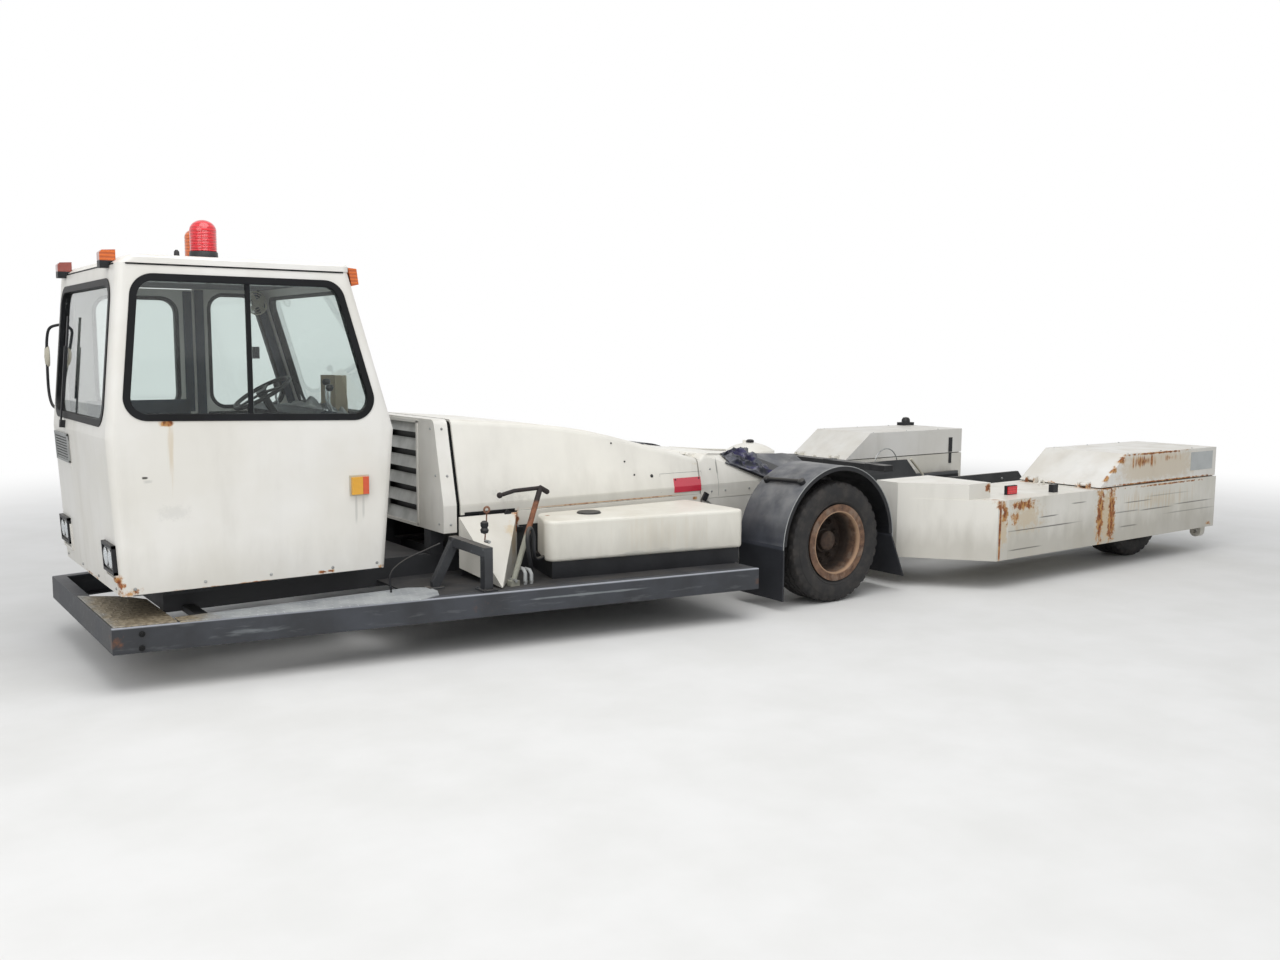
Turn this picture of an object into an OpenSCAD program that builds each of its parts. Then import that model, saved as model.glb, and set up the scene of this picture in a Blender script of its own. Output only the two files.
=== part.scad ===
// Aircraft pushback tractor: cab in front, engine behind it, steered axle in the middle and two
// rear arms that straddle an aircraft's nose gear. Millimetres, +X forward, +Y left, +Z up,
// origin on the floor under the middle. A "station" is a distance behind the bumper's face.

/* [Overall] */
// Length from the bumper's face to the ends of the arms
overall_len = 8420; // [8200:10:9000]
// Width over both arms
overall_w = 3340; // [3300:10:3500]

/* [Bumper beam] */
// Width of the beam across the front
beam_front_w = 1560; // [1500:10:1700]
// Width over the beams at their rear ends
beam_rear_w = 2760; // [2660:10:2800]
// Station of the beams' rear ends
beam_rear_st = 3560; // [3500:10:3600]
// Height of the beam's lower edge above the floor
beam_z = 200; // [160:5:230]
// Height of the beam's section
beam_h = 130; // [110:5:150]
// Depth of the beam's flanges
beam_depth = 70; // [60:5:90]
// Plate thickness of the beam
beam_wall = 10; // [6:1:14]
// Length of the folded return at each rear end
beam_return = 180; // [120:10:260]
// Thickness of the deck and step plates
tread_t = 6; // [4:1:10]

/* [Chassis] */
// Distance between the two rails, inner faces
rail_gap = 620; // [560:10:680]
// Width of one rail
rail_w = 80; // [60:5:100]
// Height of the rails' underside above the floor
rail_z = 290; // [270:5:300]
// Height of the rails' section
rail_h = 150; // [130:5:160]
// Plate thickness of the rails
rail_wall = 14; // [8:1:20]
// Rise of the rails over the axle
kick_rise = 215; // [200:5:235]
// Station where the rails start
rail_front_st = 330; // [300:10:400]
// Length of one stretch of kick-up
kick_len = 240; // [200:10:300]

/* [Cab] */
// Width of the cab
cab_w = 1400; // [1340:10:1440]
// Height of the cab's lower edge
cab_z = 458; // [450:1:480]
// Height of the cab's belt line
cab_belt_z = 1219; // [1190:1:1250]
// Height of the cab's side walls at the roof
cab_eave_z = 2050; // [2000:5:2150]
// Rise of the roof's top above the eaves
roof_rise = 48; // [40:1:70]
// Height of the roof's upright rim
roof_rim_h = 28; // [20:1:36]
// How far the roof's rim stands proud of the walls
roof_rim_out = 5; // [4:1:8]
// How far the roof's front edge slants back
roof_slant = 55; // [50:5:100]
// Station of the front face at the belt
cab_front_st = 31; // [25:1:60]
// Length of the cab at the belt
cab_len = 1463; // [1400:1:1500]
// How far the front face falls back at the foot
foot_tuck_front = 38; // [10:1:60]
// How far the rear face falls forward at the foot
foot_tuck_rear = 69; // [30:1:100]
// How far the front face leans back at the eaves
lean_front = 80; // [50:1:110]
// How far the rear face leans forward at the eaves
lean_rear = 243; // [200:1:280]
// Thickness of the cab's walls
cab_wall = 40; // [30:1:50]
// Radius of the cab's upright corners
cab_corner_r = 45; // [30:1:60]
// Height of the floor plate
floor_t = 24; // [16:1:40]

/* [Windows] */
// Height of the window sills
sill_z = 1270; // [1260:1:1300]
// Height of the window heads
head_z = 2005; // [1950:1:2010]
// Distance of the side window from the front edge
side_win_front = 64; // [60:1:100]
// Distance of the side window from the rear edge
side_win_rear = 68; // [64:1:110]
// Width of the front and rear windows
screen_w = 1240; // [1150:10:1250]
// Distance of the front and rear windows' heads below the side window's
screen_head_drop = 22; // [10:1:50]
// Width of the gaskets
gasket_w = 35; // [25:1:45]
// Outer corner radius of the gaskets
gasket_r = 112; // [80:1:125]
// Thickness of the panes
pane_t = 6; // [4:1:10]
// Distance of the sliding pane's edge from the cab's front
slider_st = 720; // [650:10:800]

/* [Cab door] */
// Station of the door's front edge
door_front_st = 175; // [165:1:200]
// Width of the door
door_w = 640; // [600:5:680]
// Height of the door's lower edge
door_z = 540; // [520:5:600]
// Height of the door's upper edge
door_top_z = 1995; // [1900:5:2010]
// Gap round the door
door_gap = 6; // [5:0.5:10]
// Distance of the hinge line outside the cab's wall
door_hinge_out = 14; // [12:1:20]

/* [Cowl and hoods] */
// Width over the hoods' sides at the crease
hood_w = 1140; // [1120:10:1180]
// Lean of the hoods' sides above the crease, degrees
hood_lean = 13.3; // [8:0.1:16]
// Height of the crease along the hoods' sides
crease_z = 750; // [735:1:770]
// Station of the radiator cowl's front face
cowl_st = 1840; // [1820:5:1860]
// Depth of the radiator cowl
cowl_depth = 85; // [70:1:90]
// Height of the cowl's lower edge
cowl_z = 590; // [560:5:640]
// Height of the cowl's top
cowl_top_z = 1245; // [1180:5:1290]
// Width of the grille opening
grille_w = 460; // [360:10:560]
// Number of louvre blades
louvre_n = 6; // [4:1:9]
// Height of the dark slot over each blade
louvre_slot = 40; // [20:1:46]
// Gap between the cowl and the engine hood
hood_gap = 25; // [24:1:30]
// Station of the engine hood's rear end
hood_rear_st = 3745; // [3720:5:3760]
// Height of the hoods' lower edge
hood_z = 690; // [684:1:720]
// Height of the hood's top at its rear end
hood_rear_z = 930; // [905:5:960]
// Rise of the rear hood's top above the engine hood's rear end
collar_rise = 24; // [20:1:50]
// Thickness of the hoods' skins
hood_wall = 15; // [10:1:25]
// Corner radius along the hoods' top edges
hood_r = 40; // [30:5:60]
// Station of the rear hood's rear end
tail_st = 4960; // [4900:10:4980]
// Height of the rear hood's top at its rear end
tail_z = 862; // [840:1:880]
// Diameter of the domed filter cover
dome_d = 370; // [280:10:400]
// Distance of the domed cover's middle from the rear hood's rear end
dome_end = 262; // [240:1:300]

/* [Side tanks] */
// Distance of the tanks' outer faces from the beam's outer face
tank_inset = 200; // [180:5:230]
// Station of the tanks' front ends
tank_front_st = 2318; // [2300:1:2360]
// Length of the tanks
tank_len = 1280; // [1200:10:1290]
// Height of the tanks' undersides
tank_z = 430; // [420:5:460]
// Height of the tanks
tank_h = 240; // [200:5:250]
// Corner radius of the tanks at the front
tank_r = 60; // [40:5:80]
// Corner radius of the tanks at the rear
tank_rear_r = 32; // [26:2:50]
// Radius along the tanks' upper and lower edges
tank_edge_r = 18; // [8:1:24]
// Diameter of the tanks' filler caps
tank_cap_d = 150; // [100:5:170]

/* [Wheels] */
// Outer diameter of the tyres
tyre_d = 800; // [780:5:810]
// Width of the tyres
tyre_w = 285; // [260:5:295]
// Outer diameter of the rims
rim_d = 508; // [490:2:520]
// Diameter of the rims' inner lip
rim_lip_d = 406; // [396:2:420]
// Diameter of the stub axles and shafts
axle_d = 70; // [60:2:80]
// Radial clearance of shafts and pins in their bores
bore_gap = 0.05; // [0.03:0.01:0.1]
// Station of the steered wheels' centres
front_wheel_st = 4340; // [4320:5:4350]
// Distance between the outer faces of the steered tyres
front_track_w = 2584; // [2560:2:2600]
// Distance of the rear wheels' centres from the arms' ends
rear_wheel_end = 800; // [760:10:840]

/* [Front axle] */
// Distance of the kingpin inboard of the tyre's middle
kingpin_in = 119; // [110:1:125]
// Diameter of the kingpins
kingpin_d = 40; // [30:1:44]
// Height of the knuckle between the fork's ears
knuckle_h = 240; // [220:5:250]
// Thickness of the fork's ears
ear_t = 28; // [20:1:30]
// Height of the axle beam
axle_beam_h = 130; // [110:5:135]

/* [Mudguards] */
// Radius of the mudguard's outer surface about the wheel's centre
guard_r = 508; // [500:1:520]
// Thickness of the mudguard
guard_t = 12; // [8:1:14]
// Depth of the lip along the mudguard's outer edge
guard_lip = 30; // [20:1:40]
// Width of the mudguard
guard_w = 420; // [400:5:440]
// Distance of the mudguard's outer edge from the middle
guard_out = 1302; // [1296:1:1320]
// Height of the front flap's lower edge
flap_front_z = 70; // [50:5:120]
// Height of the rear flap's lower edge
flap_rear_z = 105; // [80:5:140]

/* [Arms] */
// Distance between the arms' inner faces
arm_gap = 1900; // [1880:10:1920]
// Station of the arms' front ends
arm_st = 5620; // [5560:10:5680]
// Height of the arms' undersides
arm_z = 210; // [200:5:230]
// Height of the arms' tops
arm_top_z = 630; // [600:1:636]
// Thickness of the arms' side plates
arm_wall = 40; // [25:1:45]
// Length of one wheel well
well_len = 940; // [900:10:960]
// Station of the shoulders' front ends
shoulder_st = 5065; // [5040:5:5090]
// Half width of the shoulders at their front ends
shoulder_in = 1150; // [1100:5:1200]
// Rise of the shoulder step above the arms' tops
step_rise = 108; // [90:1:120]

/* [Covers] */
// Length of the covers
cover_len = 1685; // [1660:5:1720]
// Length of the slope at the covers' front
cover_slope = 335; // [300:5:380]
// Height of the covers' tops
cover_top_z = 878; // [860:1:900]
// Gap between arm and cover
cover_gap = 8; // [6:1:12]
// Thickness of the covers' skins
cover_wall = 15; // [10:1:20]

/* [Cradle and gates] */
// Distance of the cradle's pivot behind the arms' front ends
cradle_pivot_back = 140; // [120:5:180]
// Height of the cradle's pivot
cradle_pivot_z = 420; // [400:5:440]
// Width of the cradle over its cheeks
cradle_w = 1240; // [1160:10:1300]
// Distance of the cradle's rear edge ahead of the gates' hinge line
cradle_gate_gap = 160; // [140:5:200]
// Length of the cradle's arms, from the pivot to its front wall
cradle_arm_len = 390; // [360:5:420]
// Height of the cradle's underside
cradle_z = 160; // [150:1:190]
// Height of the cheeks' tops
cheek_top_z = 650; // [600:5:680]
// Thickness of the cradle's plates
cradle_t = 25; // [16:1:30]
// Distance of the gates' hinge line from the arms' ends
gate_end = 820; // [780:5:860]
// Distance of the gates' hinge line from the arm's inner face
gate_off = 52; // [48:1:60]
// Length of a gate from its hinge line
gate_len = 690; // [640:10:720]
// Height of a gate
gate_h = 240; // [200:5:260]
// Height of the gates' lower edges
gate_z = 250; // [240:1:270]

/* [Hidden] */

$fn = 48;
half_len = overall_len / 2;

tyre_r = tyre_d / 2;
wheel_z = tyre_r;
front_wheel_y = front_track_w / 2 - tyre_w / 2;
kingpin_y = front_wheel_y - kingpin_in;
rear_wheel_st = overall_len - rear_wheel_end;
arm_in_y = arm_gap / 2;
arm_out_y = overall_w / 2;
rear_wheel_y = (arm_in_y + arm_out_y) / 2;
cover_st = overall_len - cover_len;
gate_st = overall_len - gate_end;
cradle_pivot_st = arm_st + cradle_pivot_back;
cradle_rear_st = gate_st - cradle_gate_gap;
hood_y = hood_w / 2;
hood_front_st = cowl_st + cowl_depth + hood_gap;
rail_in_y = rail_gap / 2;
rail_out_y = rail_in_y + rail_w;
rail_top_z = rail_z + rail_h;
kick_z = rail_z + kick_rise;
kick_top_z = kick_z + rail_h;
beam_top_z = beam_z + beam_h;
beam_slope = (beam_rear_w - beam_front_w) / 2 / beam_rear_st;
beam_skew = sqrt(1 + beam_slope * beam_slope);
cab_y = cab_w / 2;
cab_rear_st = cab_front_st + cab_len;
door_rear_st = door_front_st + door_w;
tank_rear_st = tank_front_st + tank_len;

white = "#e6e4da";
black = "#26272a";
steel = "#8d9094";
rust = "#7a4a30";

// Station to X
function fx(st) = half_len - st;
// Distance of the beam's outer face from the middle at a station
function beam_y(st) = beam_front_w / 2 + beam_slope * st;
// Value at x on the line through [x0, y0] and [x1, y1]
function along(x, x0, y0, x1, y1) = y0 + (x - x0) * (y1 - y0) / (x1 - x0);
// Stations of the cab's front and rear faces at a height
function cab_front(z) = z < cab_belt_z
  ? along(z, cab_z, cab_front_st + foot_tuck_front, cab_belt_z, cab_front_st)
  : along(z, cab_belt_z, cab_front_st, cab_eave_z, cab_front_st + lean_front);
function cab_rear(z) = z < cab_belt_z
  ? along(z, cab_z, cab_rear_st - foot_tuck_rear, cab_belt_z, cab_rear_st)
  : along(z, cab_belt_z, cab_rear_st, cab_eave_z, cab_rear_st - lean_rear);

// Extrudes an outline of [station, height] points from y0 to y1
module slab(pts, y0, y1) {
  translate([0, y1, 0]) rotate([90, 0, 0]) linear_extrude(y1 - y0)
    polygon([for (p = pts) [fx(p[0]), p[1]]]);
}

// Extrudes an outline of [station, y] points from z0 to z1
module plan(pts, z0, z1) {
  translate([0, 0, z0]) linear_extrude(z1 - z0) polygon([for (p = pts) [fx(p[0]), p[1]]]);
}

// Box between two stations, two y values and two heights
module block(st0, st1, y0, y1, z0, z1) {
  translate([fx(st1), y0, z0]) cube([st1 - st0, y1 - y0, z1 - z0]);
}

// Rod along Y
module rod_y(st, z, d, y0, y1) {
  translate([fx(st), y1, z]) rotate([90, 0, 0]) cylinder(d = d, h = y1 - y0);
}

// Rod along Z
module rod_z(st, y, d, z0, z1) {
  translate([fx(st), y, z0]) cylinder(d = d, h = z1 - z0);
}

// Both sides of the machine
module both() {
  children();
  mirror([0, 1, 0]) children();
}

// Outline with each corner rounded; inset shrinks it evenly
module soft_poly(pts, r, inset = 0) {
  n = len(pts);
  rows = [for (i = [0 : n - 1])
    let (p = pts[i], a = pts[(i + n - 1) % n], b = pts[(i + 1) % n],
      u = (a - p) / norm(a - p), v = (b - p) / norm(b - p), c = abs(u.x * v.y - u.y * v.x))
    [p + (u + v) * r / c, u, v, (r - inset) * (1 + u * v) / c, p + (u + v) * inset / c]];
  polygon([for (w = rows) each [w[4] + w[1] * w[3], w[4] + w[2] * w[3]]]);
  for (w = rows) translate(w[0]) circle(r = r - inset);
}

// Closed skin through rings of points, each ring anticlockwise from above
module loft(rings) {
  n = len(rings[0]);
  top = (len(rings) - 1) * n;
  polyhedron(points = [for (r = rings) each r], faces = [
    [for (i = [0 : n - 1]) i],
    for (k = [0 : len(rings) - 2], i = [0 : n - 1])
      [k * n + i, (k + 1) * n + i, (k + 1) * n + (i + 1) % n, k * n + (i + 1) % n],
    [for (i = [n - 1 : -1 : 0]) top + i]]);
}

seat_gap = 0.3;

// Cab

// Ring round the cab, inset from the walls that stand at height z_wall, and placed at height z;
// nose sets its front back further
corner_steps = 6;
function cab_ring(z_wall, inset, z, nose = 0) = let (r = max(cab_corner_r - inset, 6),
    xf = fx(cab_front(z_wall) + inset + nose + r), xr = fx(cab_rear(z_wall) - inset - r), y = cab_y - inset - r,
    mid = [[xf, y], [xr, y], [xr, -y], [xf, -y]])
  [for (c = [0 : 3], i = [0 : corner_steps]) let (a = 90 * (c + i / corner_steps))
    [mid[c].x + r * cos(a), mid[c].y + r * sin(a), z]];

// Corners of the near side window, [x, z]
side_win = [
  [fx(cab_front(head_z) + side_win_front), head_z],
  [fx(cab_rear(head_z) - side_win_rear), head_z],
  [fx(cab_rear(sill_z) - side_win_rear), sill_z],
  [fx(cab_front(sill_z) + side_win_front), sill_z + gasket_w]];

// Corners of the door's window, [x, z]
door_win = [
  [fx(door_front_st + 75), head_z - 40], [fx(door_rear_st - 70), head_z - 40],
  [fx(door_rear_st - 70), sill_z], [fx(door_front_st + 75), sill_z]];

// Corners of the fixed window behind the door, [x, z]
quarter_win = [
  [fx(door_rear_st + 70), head_z - 10], [fx(cab_rear(head_z) - side_win_rear), head_z - 10],
  [fx(cab_rear(sill_z) - side_win_rear), sill_z], [fx(door_rear_st + 70), sill_z]];

front_tuck = atan(foot_tuck_front / (cab_belt_z - cab_z));
vent_w = 360;
vent_h = 150;
vent_y = -420;
vent_drop = 68;
headlamp_w = 230;
headlamp_h = 150;
headlamp_y = 550;
headlamp_drop = 545;
lamp_frame = 16;
front_lean = atan(lean_front / (cab_eave_z - cab_belt_z));
rear_lean = atan(lean_rear / (cab_eave_z - cab_belt_z));
crown_in = 70;
gasket_lip = 12;
gasket_proud = 5;

// Corners of a screen in its own plane, [y, distance up the glass from the belt]
function screen(lean) = let (s0 = (sill_z - cab_belt_z) / cos(lean),
    s1 = (head_z - screen_head_drop - cab_belt_z) / cos(lean))
  [[-screen_w / 2, s0], [screen_w / 2, s0], [screen_w / 2, s1], [-screen_w / 2, s1]];

// Outline extruded through the near (side = 1) or far (side = -1) wall, depths from the outer face
module in_side(side, d0, d1) {
  y0 = side > 0 ? cab_y - d1 : -cab_y + d0;
  translate([0, y0 + d1 - d0, 0]) rotate([90, 0, 0]) linear_extrude(d1 - d0) children();
}

// Outline of [y, up] extruded through the front screen's wall
module in_front(d0, d1) {
  translate([fx(cab_front_st), 0, cab_belt_z]) rotate([0, -front_lean, 0])
    translate([-d1, 0, 0]) rotate([90, 0, 90]) linear_extrude(d1 - d0) children();
}

module in_rear(d0, d1) {
  translate([fx(cab_rear_st), 0, cab_belt_z]) rotate([0, rear_lean, 0])
    translate([d0, 0, 0]) rotate([90, 0, 90]) linear_extrude(d1 - d0) children();
}

module door_outline(grow) {
  translate([fx(door_rear_st) - grow, door_z - grow])
    square([door_w + 2 * grow, door_top_z - door_z + 2 * grow]);
}

hinge_zs = [door_z + 180, door_top_z - 260];
hinge_pin_d = 12;
hinge_len = 70;
hinge_st = door_front_st - 4;

module cab_shell() color(white) {
  difference() {
    // Walls, and over a small step the roof's rim, its front edge slanted back
    e = cab_eave_z;
    out = roof_rim_out;
    loft([cab_ring(cab_z, 0, cab_z), cab_ring(cab_belt_z, 0, cab_belt_z), cab_ring(e, 0, e),
      cab_ring(e, -out, e + 2, out + 4), cab_ring(e, -out, e + roof_rim_h, out + 0.7 * roof_slant),
      cab_ring(e, 4, e + roof_rim_h + 10, roof_slant), cab_ring(e, crown_in, e + roof_rise, roof_slant)]);
    loft([cab_ring(cab_z - 1, cab_wall, cab_z - 1), cab_ring(cab_belt_z, cab_wall, cab_belt_z),
      cab_ring(cab_eave_z - cab_wall, cab_wall, cab_eave_z - cab_wall)]);
    in_side(1, -1, cab_wall + 1) soft_poly(side_win, gasket_r, gasket_lip);
    in_side(-1, -1, cab_wall + 1) soft_poly(quarter_win, gasket_r, gasket_lip);
    in_side(-1, -1, cab_wall + 1) door_outline(door_gap);
    in_front(-10, cab_wall + 20) soft_poly(screen(front_lean), gasket_r, gasket_lip);
    in_rear(-10, cab_wall + 20) soft_poly(screen(rear_lean), gasket_r, gasket_lip);
  }
  // Vent panel in the front and a frame for each headlamp, proud of the wall
  translate([fx(cab_front_st), 0, cab_belt_z]) rotate([0, front_tuck, 0]) {
    translate([-2, vent_y - vent_w / 2, -vent_drop - vent_h]) cube([5, vent_w, vent_h]);
    for (y = [1, -1]) translate([-2, y * headlamp_y - headlamp_w / 2, -headlamp_drop - headlamp_h])
      difference() {
        cube([12, headlamp_w, headlamp_h]);
        translate([1, lamp_frame, lamp_frame])
          cube([12, headlamp_w - 2 * lamp_frame, headlamp_h - 2 * lamp_frame]);
      }
  }
  // Fixed halves of the door hinges, above each door barrel
  for (z = hinge_zs) {
    translate([0, -cab_y - door_hinge_out, 0]) {
      rod_z(hinge_st, 0, hinge_pin_d, z - hinge_len / 2, z + hinge_len / 2 + 20);
      rod_z(hinge_st, 0, hinge_pin_d + 10, z + hinge_len / 2 + 2, z + hinge_len / 2 + 30);
    }
    block(hinge_st - 26, hinge_st, -cab_y - door_hinge_out - 4, -cab_y + 1,
      z + hinge_len / 2 + 2, z + hinge_len / 2 + 30);
  }
}

module gasket_outline(pts) difference() {
  soft_poly(pts, gasket_r);
  soft_poly(pts, gasket_r, gasket_w);
}

module gasket_core(pts) difference() {
  soft_poly(pts, gasket_r, gasket_lip);
  soft_poly(pts, gasket_r, gasket_w);
}

module pane_outline(pts) soft_poly(pts, gasket_r, gasket_w);

pane_d = 17;

module window_seals() color(black) {
  in_side(1, -gasket_proud, 0) gasket_outline(side_win);
  in_side(1, 0, cab_wall) gasket_core(side_win);
  in_side(1, 8, 32) intersection() {
    pane_outline(side_win);
    translate([fx(slider_st) - 11, sill_z]) square([22, head_z - sill_z]);
  }
  in_side(-1, -gasket_proud, 0) gasket_outline(quarter_win);
  in_side(-1, 0, cab_wall) gasket_core(quarter_win);
  in_front(-gasket_proud, 0) gasket_outline(screen(front_lean));
  in_front(0, cab_wall * cos(front_lean)) gasket_core(screen(front_lean));
  in_rear(-gasket_proud, 0) gasket_outline(screen(rear_lean));
  in_rear(0, cab_wall * cos(rear_lean)) gasket_core(screen(rear_lean));
}

module cab_glass() color("#9fb4b8", 0.4) {
  in_side(1, pane_d, pane_d + pane_t) difference() {
    pane_outline(side_win);
    translate([fx(slider_st) - 11, sill_z]) square([22, head_z - sill_z]);
  }
  in_side(-1, pane_d, pane_d + pane_t) pane_outline(quarter_win);
  in_front(pane_d, pane_d + pane_t) pane_outline(screen(front_lean));
  in_rear(pane_d, pane_d + pane_t) pane_outline(screen(rear_lean));
}

module cab_floor() color(black) {
  hull() for (st = [cab_front(cab_z) + cab_wall + 10, cab_rear(cab_z) - cab_wall - 10], y = [-1, 1])
    translate([fx(st), y * (cab_y - cab_wall - 9 - seat_gap), cab_z]) cylinder(r = 9, h = floor_t, $fn = 24);
  // Sub-frame under the floor, down to the rails
  both() block(cab_front(cab_z) + 280, cab_rear(cab_z) - 60, rail_in_y, rail_out_y, rail_top_z, cab_z);
}

seat_st = 480;
module driver_seat() color("#2b2c30") {
  z0 = cab_z + floor_t;
  block(seat_st, seat_st + 360, -170, 170, z0, z0 + 300);
  block(seat_st - 40, seat_st + 420, -240, 240, z0 + 300, z0 + 420);
  slab([[seat_st - 30, z0 + 420], [seat_st + 80, z0 + 420], [seat_st + 20, z0 + 780],
    [seat_st - 70, z0 + 780]], -230, 230);
}

module console() color("#3c3d3f") {
  z0 = cab_z + floor_t;
  foot = cab_rear(z0) - cab_wall;
  head = cab_rear_st - cab_wall;
  difference() {
    slab([[foot - 290, z0], [foot - 6, z0], [head - 6, cab_belt_z - 10], [head - 26, cab_belt_z + 48],
      [head - 300, cab_belt_z + 105], [head - 370, cab_belt_z + 75], [head - 345, cab_belt_z - 20]],
      -560, 560);
    slab([[foot - 275, z0 - 1], [foot - 16, z0 - 1], [head - 16, cab_belt_z - 10],
      [head - 300, cab_belt_z + 90], [head - 355, cab_belt_z + 68], [head - 331, cab_belt_z - 20]],
      -548, 548);
    at_column() translate([0, 0, -column_len - 20]) cylinder(d = column_d + 2 * seat_gap, h = column_len);
  }
}

wheel_d = 360;
column_st = 1000;
column_z = 1400;
column_d = 44;
column_len = 230;
module at_column() translate([fx(column_st), 0, column_z]) rotate([0, 30, 0]) children();

module steering_wheel() color(black) {
  at_column() {
    rotate_extrude() translate([wheel_d / 2 - 12, 0]) circle(r = 12, $fn = 16);
    cylinder(d = 60, h = 30, center = true);
    for (a = [0, 120, 240]) rotate([0, 0, a]) translate([20, -12, -5]) cube([wheel_d / 2 - 30, 24, 10]);
    translate([0, 0, -column_len]) cylinder(d = column_d, h = column_len - 5);
  }
}

// Beacons on the roof: [station, y, diameter, height of the base, height of the lens]
beacons = [[650, 200, 136, 60, 164], [720, -105, 110, 50, 132]];
module roof_beacons() color("#c01818") for (b = beacons) translate([fx(b[0]), b[1], cab_eave_z + roof_rise])
  rotate_extrude() polygon([[0, 0], [b[2] / 2 + 10, 0], [b[2] / 2 + 10, b[3] - 12], [b[2] / 2, b[3]],
    for (a = [0 : 15 : 90]) [b[2] / 2 * cos(a), b[3] + b[4] - b[2] / 2 + b[2] / 2 * sin(a)]]);

module lamps() {
  // Headlamp units with two round lenses, set in their frames
  color("#c9ccd0") translate([fx(cab_front_st), 0, cab_belt_z]) rotate([0, front_tuck, 0])
    for (y = [1, -1]) {
      w = headlamp_w - 2 * lamp_frame - 2 * seat_gap;
      h = headlamp_h - 2 * lamp_frame - 2 * seat_gap;
      translate([seat_gap, y * headlamp_y - w / 2, -headlamp_drop - headlamp_h / 2 - h / 2]) cube([6, w, h]);
      for (s = [-1, 1]) translate([4, y * headlamp_y + s * w / 4, -headlamp_drop - headlamp_h / 2])
        rotate([0, 90, 0]) cylinder(d1 = h - 18, d2 = h - 26, h = 6);
    }
  // Marker lamps that stand over the roof's front edge, on feet that follow its slant
  e = cab_eave_z;
  color("#c0502a") both() slab([[marker_st - 45, e - 20], [marker_st - 45, e + 52], [marker_st - 33, e + 64],
    [marker_st + 27, e + 68], [marker_st + 27, e + nose_rise(27)], [marker_st + 6, e + nose_rise(6)],
    [marker_st - 4, e + nose_rise(6)], [marker_st - 4, e - 20]], marker_y - 30, marker_y + 30);
  // Lamps on the rear wall's upper corners, each on a foot under the roof's rim
  color("#c0502a") both() {
    r0 = cab_rear(rear_lamp_z);
    r1 = cab_rear(e - 4);
    slab([[r0 + seat_gap, rear_lamp_z], [r0 + 12, rear_lamp_z], [r1 + 12, e - 4], [r1 + seat_gap, e - 4]],
      rear_lamp_y - 24, rear_lamp_y + 24);
    slab([[r0 + 11, rear_lamp_z - 6], [r0 + 52, rear_lamp_z + 4], [r1 + 58, e + 24], [r1 + 11, e + 28]],
      rear_lamp_y - 28, rear_lamp_y + 28);
  }
  // Side lamp on each cab side: a base and its lens
  color("#d08018") both() {
    block(side_lamp_st - 46, side_lamp_st + 46, cab_y + seat_gap, cab_y + 12, side_lamp_z - 44, side_lamp_z + 44);
    translate([fx(side_lamp_st), cab_y + 11, side_lamp_z]) rotate([-90, 0, 0]) cylinder(d1 = 78, d2 = 62, h = 18);
  }
}

// Height of the roof's slanted front edge over the eaves at a distance behind it, with the seat's gap
function nose_rise(d) = 2 + (d - 4) * (roof_rim_h - 2) / (0.7 * roof_slant - 4) + 2 * seat_gap;
marker_st = cab_front_st + lean_front;
marker_y = cab_y - 165;
rear_lamp_z = cab_eave_z - 62;
rear_lamp_y = cab_y - cab_corner_r - 32;
side_lamp_st = 1277;
side_lamp_z = 924;

// Rod along X with its end faces at two distances behind a station
module rod_x(st, y, z, d, b0, b1) {
  translate([fx(st + b1), y, z]) rotate([0, 90, 0]) cylinder(d = d, h = b1 - b0);
}

module wipers() color(black) {
  for (y = [-330]) translate([fx(cab_front_st), y, cab_belt_z]) rotate([0, -front_lean, 0]) {
    translate([0, -15, 0]) cube([26, 30, 40]);
    translate([16, -8, 20]) cube([8, 16, 420]);
    translate([7, -10, 160]) cube([10, 20, 440]);
  }
}

// Hoods

// Half width of the hoods at a height above the crease, on their leaning sides
function lean_y(z) = hood_y - (z - crease_z) * tan(hood_lean);

// Section of a hood at a station as a ring: upright to the crease, then leaning in to round top edges
hood_steps = 4;
function hood_ring(st, top, bottom, inset) = let (r = hood_r - inset, zc = top - hood_r,
    yc = lean_y(zc) - hood_r / cos(hood_lean),
    half = [[hood_y - inset, bottom], [hood_y - inset, crease_z - inset * tan(hood_lean / 2)],
      for (i = [0 : hood_steps]) let (a = hood_lean + (90 - hood_lean) * i / hood_steps)
        [yc + r * cos(a), zc + r * sin(a)]])
  [for (p = half) [fx(st), p.x, p.y],
    for (i = [len(half) - 1 : -1 : 0]) [fx(st), -half[i].x, half[i].y]];

// Fall of the engine hood's top: [share of its length, share of the drop to its rear end]
hood_fall = [[0, 0], [0.26, 0.11], [0.42, 0.22], [0.52, 0.31], [0.62, 0.44], [0.75, 0.63], [0.88, 0.82], [1, 1]];

// Skin or core of the engine hood; over lengthens it at both ends and below
module hood_body(inset, over) {
  n = len(hood_fall);
  loft([for (i = [n - 1 : -1 : 0]) let (k = hood_fall[i], last = i == n - 1 ? over : i == 0 ? -over : 0)
    hood_ring(hood_front_st + k[0] * (hood_rear_st - hood_front_st) + last,
      cowl_top_z - k[1] * (cowl_top_z - hood_rear_z), hood_z - over, inset)]);
}

hood_hinge_z = hood_rear_z + 14;
hood_hinge_st = hood_rear_st + 5;
hood_hinge_y = 380;

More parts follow.
